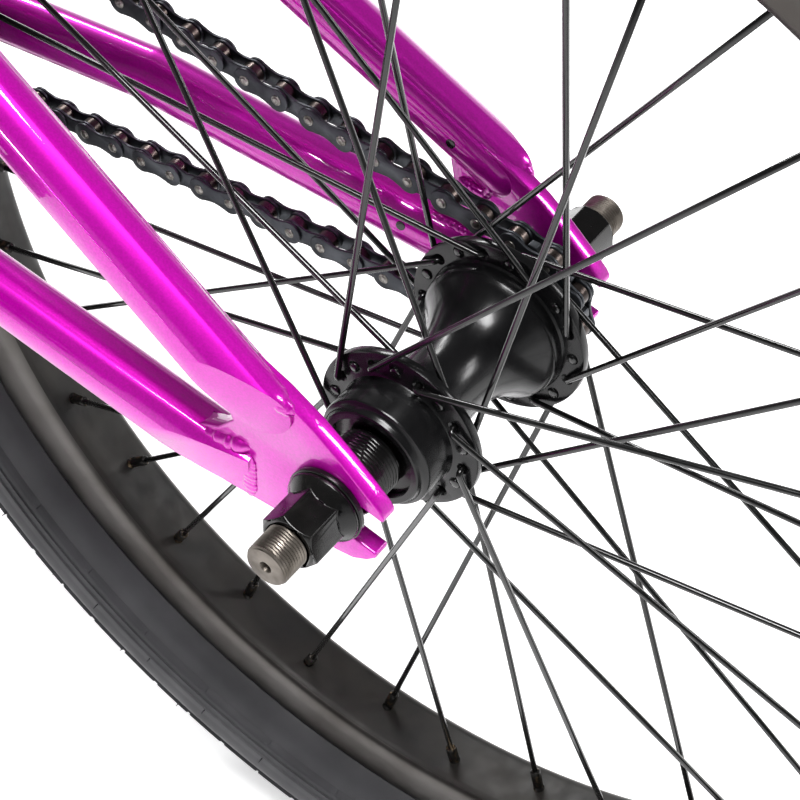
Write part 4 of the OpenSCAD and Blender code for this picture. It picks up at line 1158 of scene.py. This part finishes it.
def make_saddle():
    low = Vector(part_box("saddle_pad")[0])
    pivot_x = low.x + SADDLE_BACK * MM
    verts = []
    for inset, z in SADDLE_ROWS:
        for p in saddle_outline(inset):
            tail = max(0, (-p.x - TAIL_START) / TAIL_L) ** 2
            lift = TAIL_LIFT * tail * z / SADDLE_H
            verts.append(Vector((pivot_x + p.x * MM, p.y * MM, low.z + (z + lift) * MM)))
    faces = ring_grid(len(SADDLE_ROWS), SADDLE_COUNT, False, True)
    obj = piece("saddle_cover", mesh_from("saddle", verts, faces), "seat", CLOTH)
    soft = obj.modifiers.new("soft", "SUBSURF")
    soft.levels = 1
    soft.render_levels = 2
    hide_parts("saddle_pad")


GRIP_L = 122
GRIP_R = 15.0
RIBS = 40
RIBS_START = 6
RIBBED_L = GRIP_L - 12
# One rib: shares of its length, and how far each is from the grip's radius
RIB_PROFILE = [(0.0, -1.1), (0.25, -1.1), (0.3, 0.0), (0.95, 0.0)]
GRIP_FLANGE = [(11.2, 0), (16.6, 0), (17.3, 0.8), (17.3, 3.2), (16.6, 4.0), (14.6, 4.3), (13.9, 5.6)]
GRIP_PLUG = [
    (14.9, GRIP_L - 2.5), (14.6, GRIP_L + 0.6), (13.6, GRIP_L + 2.2), (9.0, GRIP_L + 2.55),
    (8.6, GRIP_L + 1.6), (0.1, GRIP_L + 1.4),
]
STEM_REACH = 50
STEM_HEIGHT = 457.5
BAR_CLAMP = STEER_BASE + STEER_FORWARD * STEM_REACH * MM + STEER_UP * STEM_HEIGHT * MM
# Points of the left half of the bar from its clamp: forward, up and across
BAR_CORNER = (-4, 229, 208)
BAR_TIP = (-30, 235, 364)


def on_bar(point, side):
    forward, up, across = point
    return BAR_CLAMP + STEER_FORWARD * forward * MM + STEER_UP * up * MM + Vector((0, side * across * MM, 0))


def grip_profile():
    ribs = []
    for k in range(RIBS + 1):
        y = RIBS_START + k * RIBBED_L / RIBS
        for f, dr in RIB_PROFILE:
            ribs.append((GRIP_R + dr, y + f * RIBBED_L / RIBS))
    return GRIP_FLANGE + ribs + GRIP_PLUG


def make_grips():
    """Grips with ribs and a flange at the inner end, closed by an end plug."""
    parts = Parts()
    for side in (1, -1):
        tip = on_bar(BAR_TIP, side)
        along = (tip - on_bar(BAR_CORNER, side)).normalized()
        start = tip - along * GRIP_L * MM
        turn = ACROSS.rotation_difference(along).to_matrix().to_4x4()
        parts.add(*lathe(grip_profile(), 40), Matrix.Translation(start) @ turn)
    obj = piece("ribbed_grips", parts.mesh("grips"), "steering", RUBBER)
    obj.data.set_sharp_from_angle(angle=math.radians(50))
    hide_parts("grips")


# ---------------------------------------------------------------- stage, light and camera


FLOOR_HALF = 14
FLOOR_DROP = 0.001


def make_stage():
    floor = bpy.data.meshes.new("floor")
    size = FLOOR_HALF
    corners = [(-size, -size, 0), (size, -size, 0), (size, size, 0), (-size, size, 0)]
    floor.from_pydata(corners, [], [(0, 1, 2, 3)])
    obj = bpy.data.objects.new("floor", floor)
    bpy.context.scene.collection.objects.link(obj)
    obj.location.z = -FLOOR_DROP
    s = Shader("white_floor", (0.9, 0.9, 0.9), roughness=0.8, specular=0.1)
    s.vary_color(s.noise(3, 2), (0.89, 0.89, 0.89), (0.91, 0.91, 0.91))
    s.set("Emission Color", (1, 1, 1, 1))
    s.set("Emission Strength", 0.6)
    obj.data.materials.append(s.material)
    make_world()


def make_world():
    """A plain studio: pale near the horizon, darker overhead so that the paint keeps its contrast."""
    world = bpy.data.worlds.new("studio")
    bpy.context.scene.world = world
    world.use_nodes = True
    tree = world.node_tree
    direction = tree.nodes.new("ShaderNodeTexCoord")
    height = tree.nodes.new("ShaderNodeSeparateXYZ")
    shade = tree.nodes.new("ShaderNodeValToRGB")
    tree.links.new(direction.outputs["Generated"], height.inputs["Vector"])
    tree.links.new(height.outputs["Z"], shade.inputs["Fac"])
    tree.links.new(shade.outputs["Color"], tree.nodes["Background"].inputs["Color"])
    low, high = shade.color_ramp.elements
    low.position, low.color = 0.08, (0.75, 0.75, 0.76, 1)
    high.position, high.color = 0.3, (0.11, 0.11, 0.112, 1)
    tree.nodes["Background"].inputs["Strength"].default_value = 1.0


def area_light(name, place, target, size, power):
    data = bpy.data.lights.new(name, "AREA")
    data.shape = "RECTANGLE"
    data.size, data.size_y = size
    data.energy = power
    obj = bpy.data.objects.new(name, data)
    bpy.context.scene.collection.objects.link(obj)
    obj.location = place
    obj.rotation_euler = (target - place).to_track_quat("-Z", "Y").to_euler()


def make_lights():
    area_light("key", REAR + Vector((-0.2, 0.5, 2.1)), REAR, (0.9, 0.7), 56)
    area_light("back", REAR + Vector((1.5, -1.3, 1.5)), REAR, (1.0, 0.3), 26)
    area_light("side", REAR + Vector((-1.63, -1.49, 1.18)), REAR, (0.35, 0.9), 16)


CAMERA_OFFSET = Vector((-233.92, 360.67, 427.70)) * MM
CAMERA_AZIMUTH = -2.53152
CAMERA_ELEVATION = 0.795455
CAMERA_ROLL = -0.003861
FOCAL_MM = 92.136


def make_camera():
    az, el = CAMERA_AZIMUTH, CAMERA_ELEVATION
    forward = -Vector((math.sin(az) * math.cos(el), -math.cos(az) * math.cos(el), math.sin(el)))
    right = forward.cross(Vector((0, 0, 1))).normalized()
    up = right.cross(forward)
    c, s = math.cos(CAMERA_ROLL), math.sin(CAMERA_ROLL)
    right, up = right * c + up * s, up * c - right * s
    data = bpy.data.cameras.new("camera")
    data.lens = FOCAL_MM
    data.sensor_width = 36
    data.clip_start = 0.01
    data.clip_end = 60
    camera = bpy.data.objects.new("camera", data)
    bpy.context.scene.collection.objects.link(camera)
    turn = Matrix((right, up, -forward)).transposed().to_4x4()
    camera.matrix_world = Matrix.Translation(REAR + CAMERA_OFFSET) @ turn
    bpy.context.scene.camera = camera


make_camera()
make_stage()
make_lights()
dress_cad_nodes()
for wheel in (REAR_WHEEL, FRONT_WHEEL):
    make_spokes(wheel)
    make_nipples(wheel)
    make_rim(wheel)
    make_tyre(wheel)
    make_valve(wheel)
make_rear_hub()
make_axles()
make_cones()
make_chain()
make_frame_welds()
make_stay_welds()
make_drain_holes()
make_saddle()
make_grips()

bpy.context.scene.view_settings.view_transform = "Standard"
